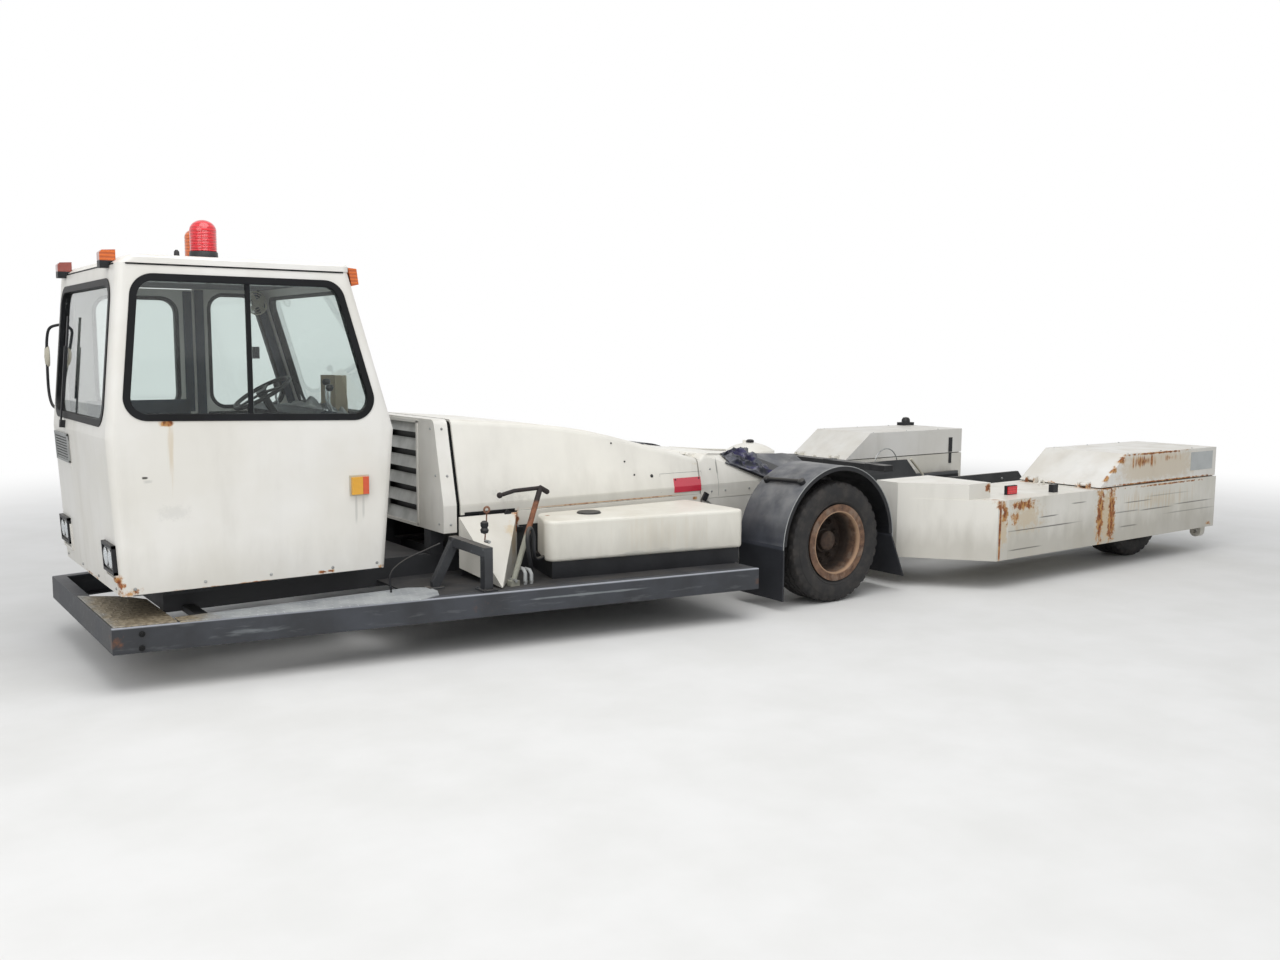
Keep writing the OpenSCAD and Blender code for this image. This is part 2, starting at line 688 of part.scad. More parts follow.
module engine_hood() color(white) {
  difference() {
    hood_body(0, 0);
    hood_body(hood_wall, 1);
  }
  // Hinge barrels on the rear edge
  both() difference() {
    union() {
      rod_y(hood_hinge_st, hood_hinge_z, 24, hood_hinge_y - 30, hood_hinge_y + 30);
      block(hood_hinge_st - 60, hood_hinge_st - 2, hood_hinge_y - 30, hood_hinge_y + 30,
        hood_rear_z - 4, hood_hinge_z + 8);
    }
    rod_y(hood_hinge_st, hood_hinge_z, 12 + 2 * bore_gap, hood_hinge_y - 31, hood_hinge_y + 31);
  }
}

module radiator_cowl() color(white) {
  rear = cowl_st + cowl_depth;
  z0 = cowl_z + 20;
  z1 = cowl_top_z - 18;
  difference() {
    loft([hood_ring(rear, cowl_top_z, cowl_z, 0), hood_ring(cowl_st, cowl_top_z, cowl_z, 0)]);
    // Grille opening, and the hollow behind the front skin up to the seal's flange
    block(cowl_st - 1, cowl_st + hood_wall + 1, -grille_w / 2, grille_w / 2, z0, z1);
    loft([hood_ring(rear - seal_flange, cowl_top_z, cowl_z + hood_wall, hood_wall),
      hood_ring(cowl_st + hood_wall, cowl_top_z, cowl_z + hood_wall, hood_wall)]);
    loft([hood_ring(rear + 1, cowl_top_z, cowl_z + 40, 39), hood_ring(rear - seal_flange - 1, cowl_top_z, cowl_z + 40, 39)]);
  }
}

seal_flange = 6;
seal_t = 12;

module radiator_grille() {
  z0 = cowl_z + 20 + seat_gap;
  z1 = cowl_top_z - 18 - seat_gap;
  y = grille_w / 2 - seat_gap;
  pitch = (z1 - z0 + louvre_slot) / louvre_n;
  face = pitch - louvre_slot;
  // Folded blades: a face that leans back, over a flat return that reaches the core
  color("#8c9090") for (i = [0 : louvre_n - 1]) let (z = z0 + i * pitch)
    slab([[cowl_st + 2, z], [cowl_st + 22, z + face], [cowl_st + 26, z + face], [cowl_st + 8, z + 4],
      [cowl_st + 53, z + 4], [cowl_st + 53, z]], -y, y);
  // End plates that hold the blades, and the radiator core behind them
  color("#8c9090") both() block(cowl_st + 6, cowl_st + 53, y - 4, y, z0, z1);
  color(black) block(cowl_st + 52, cowl_st + 76, -y, y, z0, z1);
}

module hood_seal() color("#111214") {
  front = cowl_st + cowl_depth + seat_gap;
  rear = hood_front_st + 30;
  difference() {
    loft([for (st = [rear, front]) hood_ring(st, cowl_top_z, hood_z, hood_wall + 8)]);
    loft([for (st = [rear + 1, front - 1]) hood_ring(st, cowl_top_z, hood_z - 1, hood_wall + 8 + seal_t)]);
  }
}

module engine_block() color("#4a4c4e") {
  st0 = hood_front_st + 200;
  st1 = hood_front_st + 1300;
  y = rail_in_y - 2;
  // Block with its sump, cylinder head and rocker cover
  block(st0, st1, -y, y, rail_z + 40, rail_top_z + 260);
  block(st0 + 60, st1 - 60, -y + 70, y - 70, rail_top_z + 259, rail_top_z + 420);
  block(st0 + 100, st1 - 100, -y + 130, y - 130, rail_top_z + 419, rail_top_z + 500);
  // Flywheel housing towards the axle
  rod_x(st1, 0, rail_z + 200, 420, -1, 160);
  // Feet on the rails
  both() for (st = [st0 + 150, st1 - 250]) block(st, st + 120, y - 1, rail_out_y, rail_top_z + seat_gap, rail_top_z + 60);
}

// Rear hood's top: [station, height]
function tail_line() = let (st0 = hood_rear_st + 10) [[tail_st, tail_z], [tail_st - 480, tail_z + 30],
  [st0 + 130, hood_rear_z + collar_rise], [st0 + 60, hood_rear_z + collar_rise], [st0 + 22, hood_rear_z],
  [st0, hood_rear_z]];

// Plate of thickness t over a facetted surface: points, its faces and its rim anticlockwise from above
module plate(pts, faces, rim, t) {
  n = len(pts);
  polyhedron(points = [for (p = pts) p, for (p = pts) p + [0, 0, t]], faces = [
    for (f = faces) f,
    for (f = faces) [for (i = [len(f) - 1 : -1 : 0]) f[i] + n],
    for (i = [0 : len(rim) - 1]) let (a = rim[i], b = rim[(i + 1) % len(rim)]) [a, a + n, b + n, b]]);
}

// Facets that take the rear hood's top edges off, falling rearward: front, near, rear near, rear, middle
hip_side_y = hood_y + 30;
hip_pts = [[fx(hood_rear_st + 75), lean_y(hood_rear_z) - 6,
    hood_rear_z + collar_rise - 10],
  [fx(front_wheel_st + 41), hip_side_y, 735], [fx(tail_st + 5), hip_side_y, kick_top_z + 5],
  [fx(tail_st + 5), 200, tail_z + 4], [fx(tail_st - 510), 230, tail_z + 36]];
module hip(drop, t) plate([for (p = hip_pts) p - [0, 0, drop]],
  [[0, 1, 4], [1, 2, 3], [1, 3, 4]], [0, 1, 2, 3, 4], t);

module rear_hood() color(white) {
  w = hood_wall;
  line = tail_line();
  end = len(line) - 1;
  difference() {
    loft([for (p = line) hood_ring(p[0], p[1], kick_top_z, 0)]);
    loft([for (i = [0 : end]) hood_ring(line[i][0] + (i == 0 ? -w : i == end ? w : 0), line[i][1],
      kick_top_z - 1, w)]);
    both() hip(0, 400);
  }
  // Sloped skin that closes each cut edge from below
  both() intersection() {
    hip(w, w);
    loft([for (p = line) hood_ring(p[0], p[1], kick_top_z, 0)]);
  }
  // Hinge pins for the engine hood, with a lug on each side of the barrel
  both() {
    rod_y(hood_hinge_st, hood_hinge_z, 12, hood_hinge_y - 62, hood_hinge_y + 62);
    for (s = [-1, 1]) {
      y = hood_hinge_y + s * 50;
      rod_y(hood_hinge_st, hood_hinge_z, 24, y - 12, y + 12);
      block(hood_hinge_st + 6, hood_hinge_st + 70, y - 12, y + 12, hood_rear_z - 12, hood_hinge_z + 8);
    }
  }
  // Domed cover with its cap
  translate([fx(tail_st - dome_end), 0, tail_z + 6]) {
    cylinder(d = dome_d, h = 30);
    translate([0, 0, 29]) intersection() {
      translate([0, 0, 61 - dome_r]) sphere(r = dome_r);
      cylinder(d = dome_d - 10, h = 70);
    }
    translate([fx(0) - half_len, -60, 60]) cylinder(d = 34, h = 44);
  }
}
dome_r = 310;

module side_fairings() color(white) both() {
  hull() {
    block(hood_front_st - 14, hood_front_st + 366, hood_y, hood_y + 6, hood_z - 16, hood_z - 10);
    block(hood_front_st - 14, hood_front_st - 8, hood_y, hood_y + 6, beam_top_z + 50, hood_z - 10);
    block(hood_front_st + 14, hood_front_st + 20, 1020, 1026, beam_top_z + tread_t, beam_top_z + 12);
    block(hood_front_st + 366, hood_front_st + 372, hood_y, hood_y + 6, beam_top_z + tread_t, hood_z - 10);
  }
}

// Tanks

// Outline of a tank, [station, y], from the beam's own flare
function tank_pts(inset, y_in) = [
  [tank_front_st + inset + tank_front_skew, y_in], [tank_front_st + inset, beam_y(tank_front_st) - tank_inset - inset],
  [tank_rear_st - inset, beam_y(tank_rear_st) - tank_inset - inset], [tank_rear_st - inset, y_in]];

tank_in_y = hood_y + 45;
// Setback of each tank's inner front corner
tank_front_skew = 100;

// Upright barrel with rounded ends
module barrel(r, h, e) {
  rotate_extrude($fn = 32) polygon([[0, 0], for (a = [-90 : 30 : 0]) [r - e + e * cos(a), e + e * sin(a)],
    for (a = [0 : 30 : 90]) [r - e + e * cos(a), h - e + e * sin(a)], [0, h]]);
}

tank_cap_st = 2700;
tank_cap_in = 245;
tank_cap_h = 10;

module side_tanks() color(white) both() hull() for (i = [0 : 3]) {
  r = i < 2 ? tank_r : tank_rear_r;
  translate([0, 0, tank_z]) let (p = tank_pts(r, tank_in_y + r)[i]) translate([fx(p[0]), p[1], 0])
    barrel(r, tank_h, tank_edge_r);
}

module tank_bases() color(black) both() {
  plan(tank_pts(20, hood_y), beam_top_z, tank_z);
  // Filler cap on each tank
  translate([fx(tank_cap_st), beam_y(tank_cap_st) - tank_inset - tank_cap_in, tank_z + tank_h + seat_gap])
    cylinder(d1 = tank_cap_d, d2 = tank_cap_d - 12, h = tank_cap_h);
}

// Frame

// Side outline of a rail with its kick-up; w takes a plate off top and bottom
function rail_pts(w) = let (k0 = front_wheel_st - 560)
  [[rail_front_st, rail_z + w], [k0, rail_z + w], [k0 + kick_len, kick_z + w], [shoulder_st, kick_z + w],
    [shoulder_st, kick_top_z - w], [k0 + kick_len - 60, kick_top_z - w], [k0 - 60, rail_top_z - w],
    [rail_front_st, rail_top_z - w]];

// Channel rail, open towards the middle
module rail() difference() {
  slab(rail_pts(0), rail_in_y, rail_out_y);
  slab([for (p = rail_pts(rail_wall)) [p[0] + (p[0] > kick_len + rail_front_st ? 0 : -1), p[1]]],
    rail_in_y - 1, rail_out_y - rail_wall);
}

outrigger_sts = [420, 1560, 2330, 3440];
module chassis_frame() color(black) {
  both() rail();
  // Cross members between the rails, [station, underside]
  for (c = [[rail_front_st, rail_z], [1560, rail_z], [2000, rail_z], [3440, rail_z],
      [4640, kick_z], [4960, kick_z]])
    block(c[0], c[0] + 70, -rail_out_y + rail_wall - 1, rail_out_y - rail_wall + 1, c[1] + rail_wall - 1,
      c[1] + rail_h - rail_wall + 1);
  // Outriggers from the rails to the beam
  both() for (st = outrigger_sts)
    plan([[st, rail_out_y], [st, beam_y(st) - beam_wall * beam_skew],
      [st + 60, beam_y(st + 60) - beam_wall * beam_skew], [st + 60, rail_out_y]],
      rail_z, beam_top_z - beam_wall);
  // Seats for the axle beam
  both() block(front_wheel_st - 90, front_wheel_st + 90, rail_in_y, rail_out_y,
    wheel_z + axle_beam_h / 2, kick_z);
}

// Outline of the beam's plan to a depth from its outer face
function beam_line(d) = [[beam_rear_st, -beam_y(beam_rear_st) + d * beam_skew],
  [d, -beam_y(d) + d * beam_skew], [d, beam_y(d) - d * beam_skew],
  [beam_rear_st, beam_y(beam_rear_st) - d * beam_skew]];

module beam_strip(d, z0, z1) {
  difference() {
    plan(beam_line(0), z0, z1);
    plan([for (p = beam_line(d)) p[0] == beam_rear_st ? [p[0] + 1, p[1] + sign(p[1]) * beam_slope] : p],
      z0 - 1, z1 + 1);
  }
}

module bumper_beam() color(black) {
  beam_strip(beam_wall, beam_z, beam_top_z);
  beam_strip(beam_depth, beam_z, beam_z + beam_wall);
  beam_strip(beam_depth, beam_top_z - beam_wall, beam_top_z);
  // Folded returns at the rear ends
  both() plan([[beam_rear_st - beam_wall, beam_y(beam_rear_st) - beam_return],
    [beam_rear_st - beam_wall, beam_y(beam_rear_st - beam_wall)],
    [beam_rear_st, beam_y(beam_rear_st)], [beam_rear_st, beam_y(beam_rear_st) - beam_return]],
    beam_z, beam_top_z);
}

step_front_st = 300;
step_rear_st = 1640;
step_in_y = cab_y + 20;

module step_plates() {
  // Tread plates beside the cab, widening with the beam
  color("#a9adab") both() plan([[step_front_st, step_in_y], [step_front_st, beam_y(step_front_st)],
    [step_rear_st - 150, beam_y(step_rear_st - 150)], [step_rear_st - 40, beam_y(step_rear_st) - 70],
    [step_rear_st, beam_y(step_rear_st) - 170], [step_rear_st, step_in_y + 60],
    [step_rear_st - 100, step_in_y]], beam_top_z, beam_top_z + tread_t);
  // Corner plate at the near front corner
  color("#9a8f7c") plan([[beam_wall, -80], [beam_wall, 770], [step_front_st - 10, beam_y(step_front_st) - 15],
    [step_front_st - 10, 210], [210, 70]], beam_top_z, beam_top_z + tread_t);
}

deck_st = 1500;
module deck_plates() color(black) {
  // Deck from the cab's rear to the beams' ends, in two halves beside the engine
  end = beam_rear_st - beam_wall - 1;
  inset = beam_depth * beam_skew + 1;
  both() plan([[deck_st, rail_out_y], [deck_st, beam_y(deck_st) - inset], [end, beam_y(end) - inset],
    [end, rail_out_y]], beam_top_z - beam_wall, beam_top_z);
  // Raised deck between the cab and the cowl
  block(deck_st, cowl_st - 20, -rail_out_y, rail_out_y, rail_top_z, rail_top_z + 8);
  // Rests between the rails and the cowl, and skirts under the engine hood
  both() block(cowl_st, cowl_st + cowl_depth, rail_in_y, rail_out_y, rail_top_z, cowl_z);
  both() block(hood_front_st, hood_rear_st - 5, hood_y - 8, hood_y, beam_top_z, hood_z - 8);
}

// Front axle and mudguards

module mudguards() color("#2c2d30") both() {
  in_y = guard_out - guard_w;
  difference() {
    rod_y(front_wheel_st, wheel_z, 2 * guard_r, in_y, guard_out);
    rod_y(front_wheel_st, wheel_z, 2 * (guard_r - guard_t), in_y - 1, guard_out - guard_t);
    rod_y(front_wheel_st, wheel_z, 2 * (guard_r - guard_lip), in_y, guard_out + 1);
    block(front_wheel_st - guard_r - 1, front_wheel_st + guard_r + 1, in_y - 1, guard_out + 1,
      wheel_z - guard_r - 1, wheel_z + 20);
  }
  // Flaps that hang from the guard's two ends
  slab([[front_wheel_st - guard_r, wheel_z + 22], [front_wheel_st - guard_r + guard_t, wheel_z + 22],
    [front_wheel_st - guard_r + guard_t, flap_front_z], [front_wheel_st - guard_r, flap_front_z]],
    in_y, guard_out);
  slab([[front_wheel_st + guard_r, wheel_z + 22], [front_wheel_st + guard_r - guard_t, wheel_z + 22],
    [front_wheel_st + guard_r + 130, flap_rear_z], [front_wheel_st + guard_r + 130 + guard_t, flap_rear_z]],
    in_y + 60, guard_out - 10);
  // Apron that lies on the rear hood's facets and runs out to the guard
  lift = [0, 0, seat_gap];
  guard_sts = [front_wheel_st - 200, front_wheel_st, front_wheel_st + 200, front_wheel_st + 360];
  plate([hip_pts[0] + (hip_pts[1] - hip_pts[0]) * 0.3 + lift, for (i = [1 : 4]) hip_pts[i] + lift,
    hip_pts[0] + (hip_pts[4] - hip_pts[0]) * 0.6 + lift,
    for (st = guard_sts) [fx(st), in_y + 2, wheel_z + sqrt(guard_r ^ 2 - (st - front_wheel_st) ^ 2) - apron_t - 1]],
    [[0, 1, 4, 5], [1, 2, 3], [1, 3, 4], [1, 6, 7], [1, 7, 8], [1, 8, 2], [2, 8, 9]],
    [0, 1, 6, 7, 8, 9, 2, 3, 4, 5], apron_t);
}
apron_t = 8;

ear_y = kingpin_y + 40;
module front_axle() color(black) {
  // Beam under the rails, with the drive housing in its middle
  block(front_wheel_st - 65, front_wheel_st + 65, -kingpin_y + 190, kingpin_y - 190,
    wheel_z - axle_beam_h / 2, wheel_z + axle_beam_h / 2);
  translate([fx(front_wheel_st), 0, wheel_z]) sphere(d = 300);
  both() difference() {
    union() {
      block(front_wheel_st - 55, front_wheel_st + 55, kingpin_y - 200, kingpin_y - 140,
        wheel_z - knuckle_h / 2 - ear_t - 5, wheel_z + knuckle_h / 2 + ear_t + 5);
      for (s = [-1, 1]) {
        zc = wheel_z + s * (knuckle_h / 2 + 5 + ear_t / 2);
        block(front_wheel_st - 40, front_wheel_st + 40, kingpin_y - 141, kingpin_y,
          zc - ear_t / 2, zc + ear_t / 2);
        rod_z(front_wheel_st, kingpin_y, 80, zc - ear_t / 2, zc + ear_t / 2);
      }
    }
    rod_z(front_wheel_st, kingpin_y, kingpin_d + 2 * bore_gap, 0, tyre_d);
  }
}

module knuckle() color(steel) {
  rod_z(front_wheel_st, kingpin_y, 84, wheel_z - knuckle_h / 2, wheel_z + knuckle_h / 2);
  rod_z(front_wheel_st, kingpin_y, kingpin_d, wheel_z - knuckle_h / 2 - ear_t - 5,
    wheel_z + knuckle_h / 2 + ear_t + 5);
  rod_y(front_wheel_st, wheel_z, axle_d, kingpin_y, front_wheel_y + 40);
}

module knuckle_left() knuckle();
module knuckle_right() mirror([0, 1, 0]) knuckle();

// Wheels, about their own centre with the outer face towards +Y

module tyre() color("#1d1e20") {
  w = tyre_w / 2;
  rotate([-90, 0, 0]) rotate_extrude($fn = 72) polygon([
    [rim_d / 2 - 8, -w + 34], [rim_d / 2 + 16, -w + 10], [tyre_r - 90, -w], [tyre_r - 40, -w + 6],
    [tyre_r - 8, -w + 22], [tyre_r, -w + 48], [tyre_r, w - 48], [tyre_r - 8, w - 22],
    [tyre_r - 40, w - 6], [tyre_r - 90, w], [rim_d / 2 + 16, w - 10], [rim_d / 2 - 8, w - 34]]);
}

rim_disc_y = -50;
module rim() color(rust) {
  w = tyre_w / 2 - 10;
  lip = rim_lip_d / 2;
  rotate([-90, 0, 0]) rotate_extrude($fn = 72) polygon([
    [rim_d / 2 - 8, -w + 24], [rim_d / 2, -w], [lip + 10, -w], [lip - 10, -w + 30],
    [lip - 10, rim_disc_y], [110, rim_disc_y - 8], [90, rim_disc_y - 20], [axle_d / 2 + bore_gap, rim_disc_y - 20],
    [axle_d / 2 + bore_gap, rim_disc_y + 60], [80, rim_disc_y + 60], [95, rim_disc_y + 14],
    [110, rim_disc_y + 8], [lip - 14, rim_disc_y + 16], [lip - 10, w - 60], [lip, w],
    [rim_d / 2, w], [rim_d / 2 - 8, w - 24]]);
}

module at_front(side) mirror([0, side > 0 ? 0 : 1, 0])
  translate([fx(front_wheel_st), front_wheel_y, wheel_z]) children();
module at_rear(side) mirror([0, side > 0 ? 0 : 1, 0])
  translate([fx(rear_wheel_st), rear_wheel_y, wheel_z]) children();

module tyre_front_left() at_front(1) tyre();
module tyre_front_right() at_front(-1) tyre();
module tyre_rear_left() at_rear(1) tyre();
module tyre_rear_right() at_rear(-1) tyre();
module rim_front_left() at_front(1) rim();
module rim_front_right() at_front(-1) rim();
module rim_rear_left() at_rear(1) rim();
module rim_rear_right() at_rear(-1) rim();

module rear_shafts() color(steel) both()
  rod_y(rear_wheel_st, wheel_z, axle_d, arm_in_y + arm_wall, arm_out_y - arm_wall);

// Arms

module arm() color(white) {
  well0 = rear_wheel_st - well_len / 2;
  well1 = rear_wheel_st + well_len / 2;
  w = arm_wall;
  difference() {
    block(arm_st, overall_len, arm_in_y, arm_out_y, arm_z, arm_top_z);
    // Wheel well, open above and below
    block(well0, well1, arm_in_y + w, arm_out_y - w, arm_z - 1, arm_top_z + 1);
    // Hollow ahead of the well, open below, and behind it
    block(arm_st + w, well0 - w, arm_in_y + w, arm_out_y - w, arm_z - 1, arm_top_z - w);
    block(well1 + w, overall_len - w, arm_in_y + w, arm_out_y - w, arm_z + w, arm_top_z - w);
  }
  // Hinge pins for the cover
  for (y = [arm_in_y + 130, arm_out_y - 130]) {
    rod_y(cover_hinge_st, cover_hinge_z, 16, y - 45, y + 45);
    for (s = [-1, 1]) block(cover_hinge_st - 22, cover_hinge_st + 22, y + s * 36 - 8, y + s * 36 + 8,
      arm_top_z, cover_hinge_z + 14);
  }
  // Hinge pin for the gate, between two lugs
  gy = arm_in_y - gate_off;
  rod_z(gate_st, gy, 30, gate_z - 30, gate_z + gate_h + 30);
  for (z = [gate_z - 30, gate_z + gate_h + 6]) {
    rod_z(gate_st, gy, 66, z, z + 24);
    block(gate_st - 33, gate_st + 33, gy, arm_in_y, z, z + 24);
  }
  // Tie-down lug under the arm's end, bored along the machine
  lug_st = overall_len - lug_end;
  difference() {
    union() {
      block(lug_st - lug_t / 2, lug_st + lug_t / 2, lug_y - 45, lug_y + 45, arm_z - lug_drop, arm_z + 1);
      rod_x(lug_st, lug_y, arm_z - lug_drop, 90, -lug_t / 2, lug_t / 2);
    }
    rod_x(lug_st, lug_y, arm_z - lug_drop, lug_bore_d, -lug_t, lug_t);
  }
}

cover_hinge_st = cover_st - 22;
cover_hinge_z = arm_top_z + 26;
lug_y = arm_out_y - 75;
lug_bore_d = 32;
lug_end = 110;
lug_drop = 45;
lug_t = 70;

module arm_left() arm();
module arm_right() mirror([0, 1, 0]) arm();

module cover() color(white) {
  z0 = arm_top_z + cover_gap;
  y0 = arm_in_y;
  y1 = arm_out_y - 10;
  w = cover_wall;
  difference() {
    slab([[cover_st, z0], [cover_st + cover_slope, cover_top_z], [overall_len, cover_top_z - 4],
      [overall_len, z0]], y0, y1);
    slab([[cover_st + 1.6 * w, z0 - 1], [cover_st + 1.6 * w, z0], [cover_st + cover_slope + 6, cover_top_z - w],
      [overall_len - w, cover_top_z - w - 4], [overall_len - w, z0 - 1]], y0 + w, y1 - w);
  }
  for (y = [arm_in_y + 130, arm_out_y - 130]) difference() {
    union() {
      rod_y(cover_hinge_st, cover_hinge_z, 28, y - 25, y + 25);
      slab([[cover_hinge_st, cover_hinge_z - 12], [cover_hinge_st, cover_hinge_z + 13],
        [cover_st + 30, z0 + 40], [cover_st + 30, z0 + 12], [cover_st + 4, z0 + 2]], y - 25, y + 25);
    }
    rod_y(cover_hinge_st, cover_hinge_z, 16 + 2 * bore_gap, y - 26, y + 26);
  }
}

module cover_left() cover();
module cover_right() mirror([0, 1, 0]) cover();

module cross_frame() color(white) {
  z1 = arm_top_z;
  w = arm_wall;
  // Box between the arms with its slanted shoulders
  difference() {
    plan([[shoulder_st, -shoulder_in], [shoulder_st, shoulder_in], [shoulder_st + 45, shoulder_in + 50],
      [arm_st - 120, arm_out_y], [arm_st, arm_out_y], [arm_st, -arm_out_y], [arm_st - 120, -arm_out_y],
      [shoulder_st + 45, -shoulder_in - 50]], arm_z, z1);
    plan([[shoulder_st + w, -shoulder_in + 20], [shoulder_st + w, shoulder_in - 20],
      [arm_st - 120, arm_out_y - 1.5 * w], [arm_st - w, arm_out_y - 1.5 * w],
      [arm_st - w, -arm_out_y + 1.5 * w], [arm_st - 120, -arm_out_y + 1.5 * w]], arm_z - 1, z1 - w);
  }
  // Raised step along each shoulder
  both() plan([[shoulder_st, arm_in_y], [shoulder_st, shoulder_in], [shoulder_st + 320, arm_out_y - 160],
    [arm_st, arm_out_y - 160], [arm_st, arm_in_y]], z1, z1 + step_rise);
  // Lugs that carry the cradle's pivot pins
  both() difference() {
    slab([[arm_st, cradle_pivot_z - 70], [arm_st, cradle_pivot_z + 70],
      [cradle_pivot_st, cradle_pivot_z + 50], [cradle_pivot_st + 50, cradle_pivot_z],
      [cradle_pivot_st, cradle_pivot_z - 50]], cradle_w / 2 + 6, cradle_w / 2 + 36);
    rod_y(cradle_pivot_st, cradle_pivot_z, 50 + 2 * bore_gap, cradle_w / 2, cradle_w / 2 + 40);
  }
}

module cradle() color("#3a3c3f") {
  y = cradle_w / 2;
  t = cradle_t;
  floor_st = cradle_pivot_st + cradle_arm_len;
  both() {
    // Cheek plate out to the pivot
    slab([[cradle_pivot_st - 50, cradle_pivot_z - 40], [cradle_pivot_st - 50, cradle_pivot_z + 40],
      [cradle_pivot_st + 60, cradle_pivot_z + 90], [floor_st + 100, cheek_top_z],
      [cradle_rear_st - 260, cheek_top_z], [cradle_rear_st - 70, cheek_top_z - 190],
      [cradle_rear_st, cradle_z + 60], [cradle_rear_st, cradle_z], [floor_st, cradle_z]], y - t, y);
    rod_y(cradle_pivot_st, cradle_pivot_z, 50, y - t, y + 40);
    // Doubler round the pivot and a rib along the cheek's foot
    rod_y(cradle_pivot_st, cradle_pivot_z, 90, y - t - 12, y - t + 1);
    block(floor_st, cradle_rear_st - 60, y - t - 30, y - t + 1, cradle_z + t - 1, cradle_z + t + 30);
  }
  // Floor and front wall that the nose wheels roll onto and against
  slab([[floor_st, cradle_z], [cradle_rear_st, cradle_z], [cradle_rear_st - 60, cradle_z + t],
    [floor_st + t, cradle_z + t], [floor_st - 70, cheek_top_z - 90], [floor_st - 70 - t, cheek_top_z - 90]],
    -y + t, y - t);
}

module gate() color(black) {
  gy = arm_in_y - gate_off;
  difference() {
    union() {
      rod_z(gate_st, gy, 60, gate_z, gate_z + gate_h);
      block(gate_st, gate_st + gate_len, gy - 20, gy + 20, gate_z, gate_z + gate_h - 30);
    }
    rod_z(gate_st, gy, 30 + 2 * bore_gap, gate_z - 1, gate_z + gate_h + 1);
  }
}

module gate_left() gate();
module gate_right() mirror([0, 1, 0]) gate();

// Cab door

module cab_door() color(white) {
  difference() {
    in_side(-1, 0, cab_wall) difference() {
      door_outline(0);
      soft_poly(door_win, gasket_r, gasket_lip);
    }
  }
  // Hinge barrels on the front edge
  for (z = hinge_zs) difference() {
    union() {
      rod_z(hinge_st, -cab_y - door_hinge_out, hinge_pin_d + 10, z - hinge_len / 2, z + hinge_len / 2);
      block(hinge_st, hinge_st + 70, -cab_y - door_hinge_out - 4, -cab_y, z - hinge_len / 2, z + hinge_len / 2);
    }
    rod_z(hinge_st, -cab_y - door_hinge_out, hinge_pin_d + 2 * bore_gap, z - hinge_len, z + hinge_len);
  }
}

module door_glass() {
  color(black) {
    in_side(-1, -gasket_proud, 0) gasket_outline(door_win);
    in_side(-1, 0, cab_wall) gasket_core(door_win);
  }
  color("#9fb4b8", 0.4) in_side(-1, pane_d, pane_d + pane_t) pane_outline(door_win);
}

// Deck fittings

stand_tube = 52;
strut_tube = 38;
module bracket_stand() color(black) {
  z0 = beam_top_z;
  w = stand_tube;
  v = strut_tube;
  // Upright, its bar inboard and a slanted strut: [width, end, end], each end [station, y, z]
  for (e = [[w, [1881, 1004, z0 + w / 2], [1881, 1004, z0 + 214]],
      [w, [1881, 1004, z0 + 214], [1800, 780, z0 + 252]],
      [v, [1672, 786, z0 + v / 2], [1800, 780, z0 + 252]]])
    hull() for (p = [e[1], e[2]]) translate([fx(p[0]), p[1], p[2]]) cube([e[0], e[0], e[0]], center = true);
}

// Bars in a chain through points [station, y, z]
module bar(pts, r) {
  for (i = [0 : len(pts) - 2]) hull() for (p = [pts[i], pts[i + 1]])
    translate([fx(p[0]), p[1], p[2]]) sphere(r = r, $fn = 12);
}

lever_r = 16;
grip_r = 12;
module hand_lever() color("#5a3a2a") {
  z0 = beam_top_z;
  block(2035, 2090, 955, 1005, z0, z0 + 30);
  bar([[2062, 980, z0 + 20], [2352, 800, 848]], lever_r);
  // Grip across the top: a long bent arm to the front and a short one to the rear
  bar([[2102, 800, 826], [2175, 800, 842], [2352, 800, 848]], grip_r);
  bar([[2352, 800, 848], [2397, 800, 822]], lever_r);
}

chassis_frame();
bumper_beam();
step_plates();
deck_plates();
cab_shell();
cab_glass();
window_seals();
cab_floor();
driver_seat();
console();
steering_wheel();
roof_beacons();
lamps();
wipers();
radiator_cowl();
radiator_grille();
hood_seal();
engine_block();
rear_hood();
side_fairings();
side_tanks();
tank_bases();
mudguards();
front_axle();
cross_frame();
arm_left();
arm_right();
rear_shafts();
bracket_stand();
hand_lever();
engine_hood();
cab_door();
door_glass();
knuckle_left();
knuckle_right();
tyre_front_left();
rim_front_left();
tyre_front_right();
rim_front_right();
tyre_rear_left();
rim_rear_left();
tyre_rear_right();
rim_rear_right();
cover_left();
cover_right();
cradle();
gate_left();
gate_right();
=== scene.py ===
import math

import bmesh
import bpy
from mathutils import Matrix, Vector, noise


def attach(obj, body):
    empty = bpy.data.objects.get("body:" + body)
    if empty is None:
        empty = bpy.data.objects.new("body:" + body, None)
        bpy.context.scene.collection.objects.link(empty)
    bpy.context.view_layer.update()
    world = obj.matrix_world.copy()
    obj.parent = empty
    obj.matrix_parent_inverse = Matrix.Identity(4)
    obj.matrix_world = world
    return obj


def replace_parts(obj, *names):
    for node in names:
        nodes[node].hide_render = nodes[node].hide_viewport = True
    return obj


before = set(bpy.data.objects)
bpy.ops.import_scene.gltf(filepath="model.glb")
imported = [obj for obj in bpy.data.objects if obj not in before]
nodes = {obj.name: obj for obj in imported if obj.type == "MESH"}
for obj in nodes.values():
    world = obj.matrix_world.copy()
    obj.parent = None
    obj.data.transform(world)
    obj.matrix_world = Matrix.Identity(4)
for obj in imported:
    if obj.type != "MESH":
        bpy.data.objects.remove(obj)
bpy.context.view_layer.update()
roofTop = 2.0983  # height of the cab roof's top face
axleBack, wheelHigh = 0.13, 0.4  # the steered wheels' axis lies this far behind the middle and this high


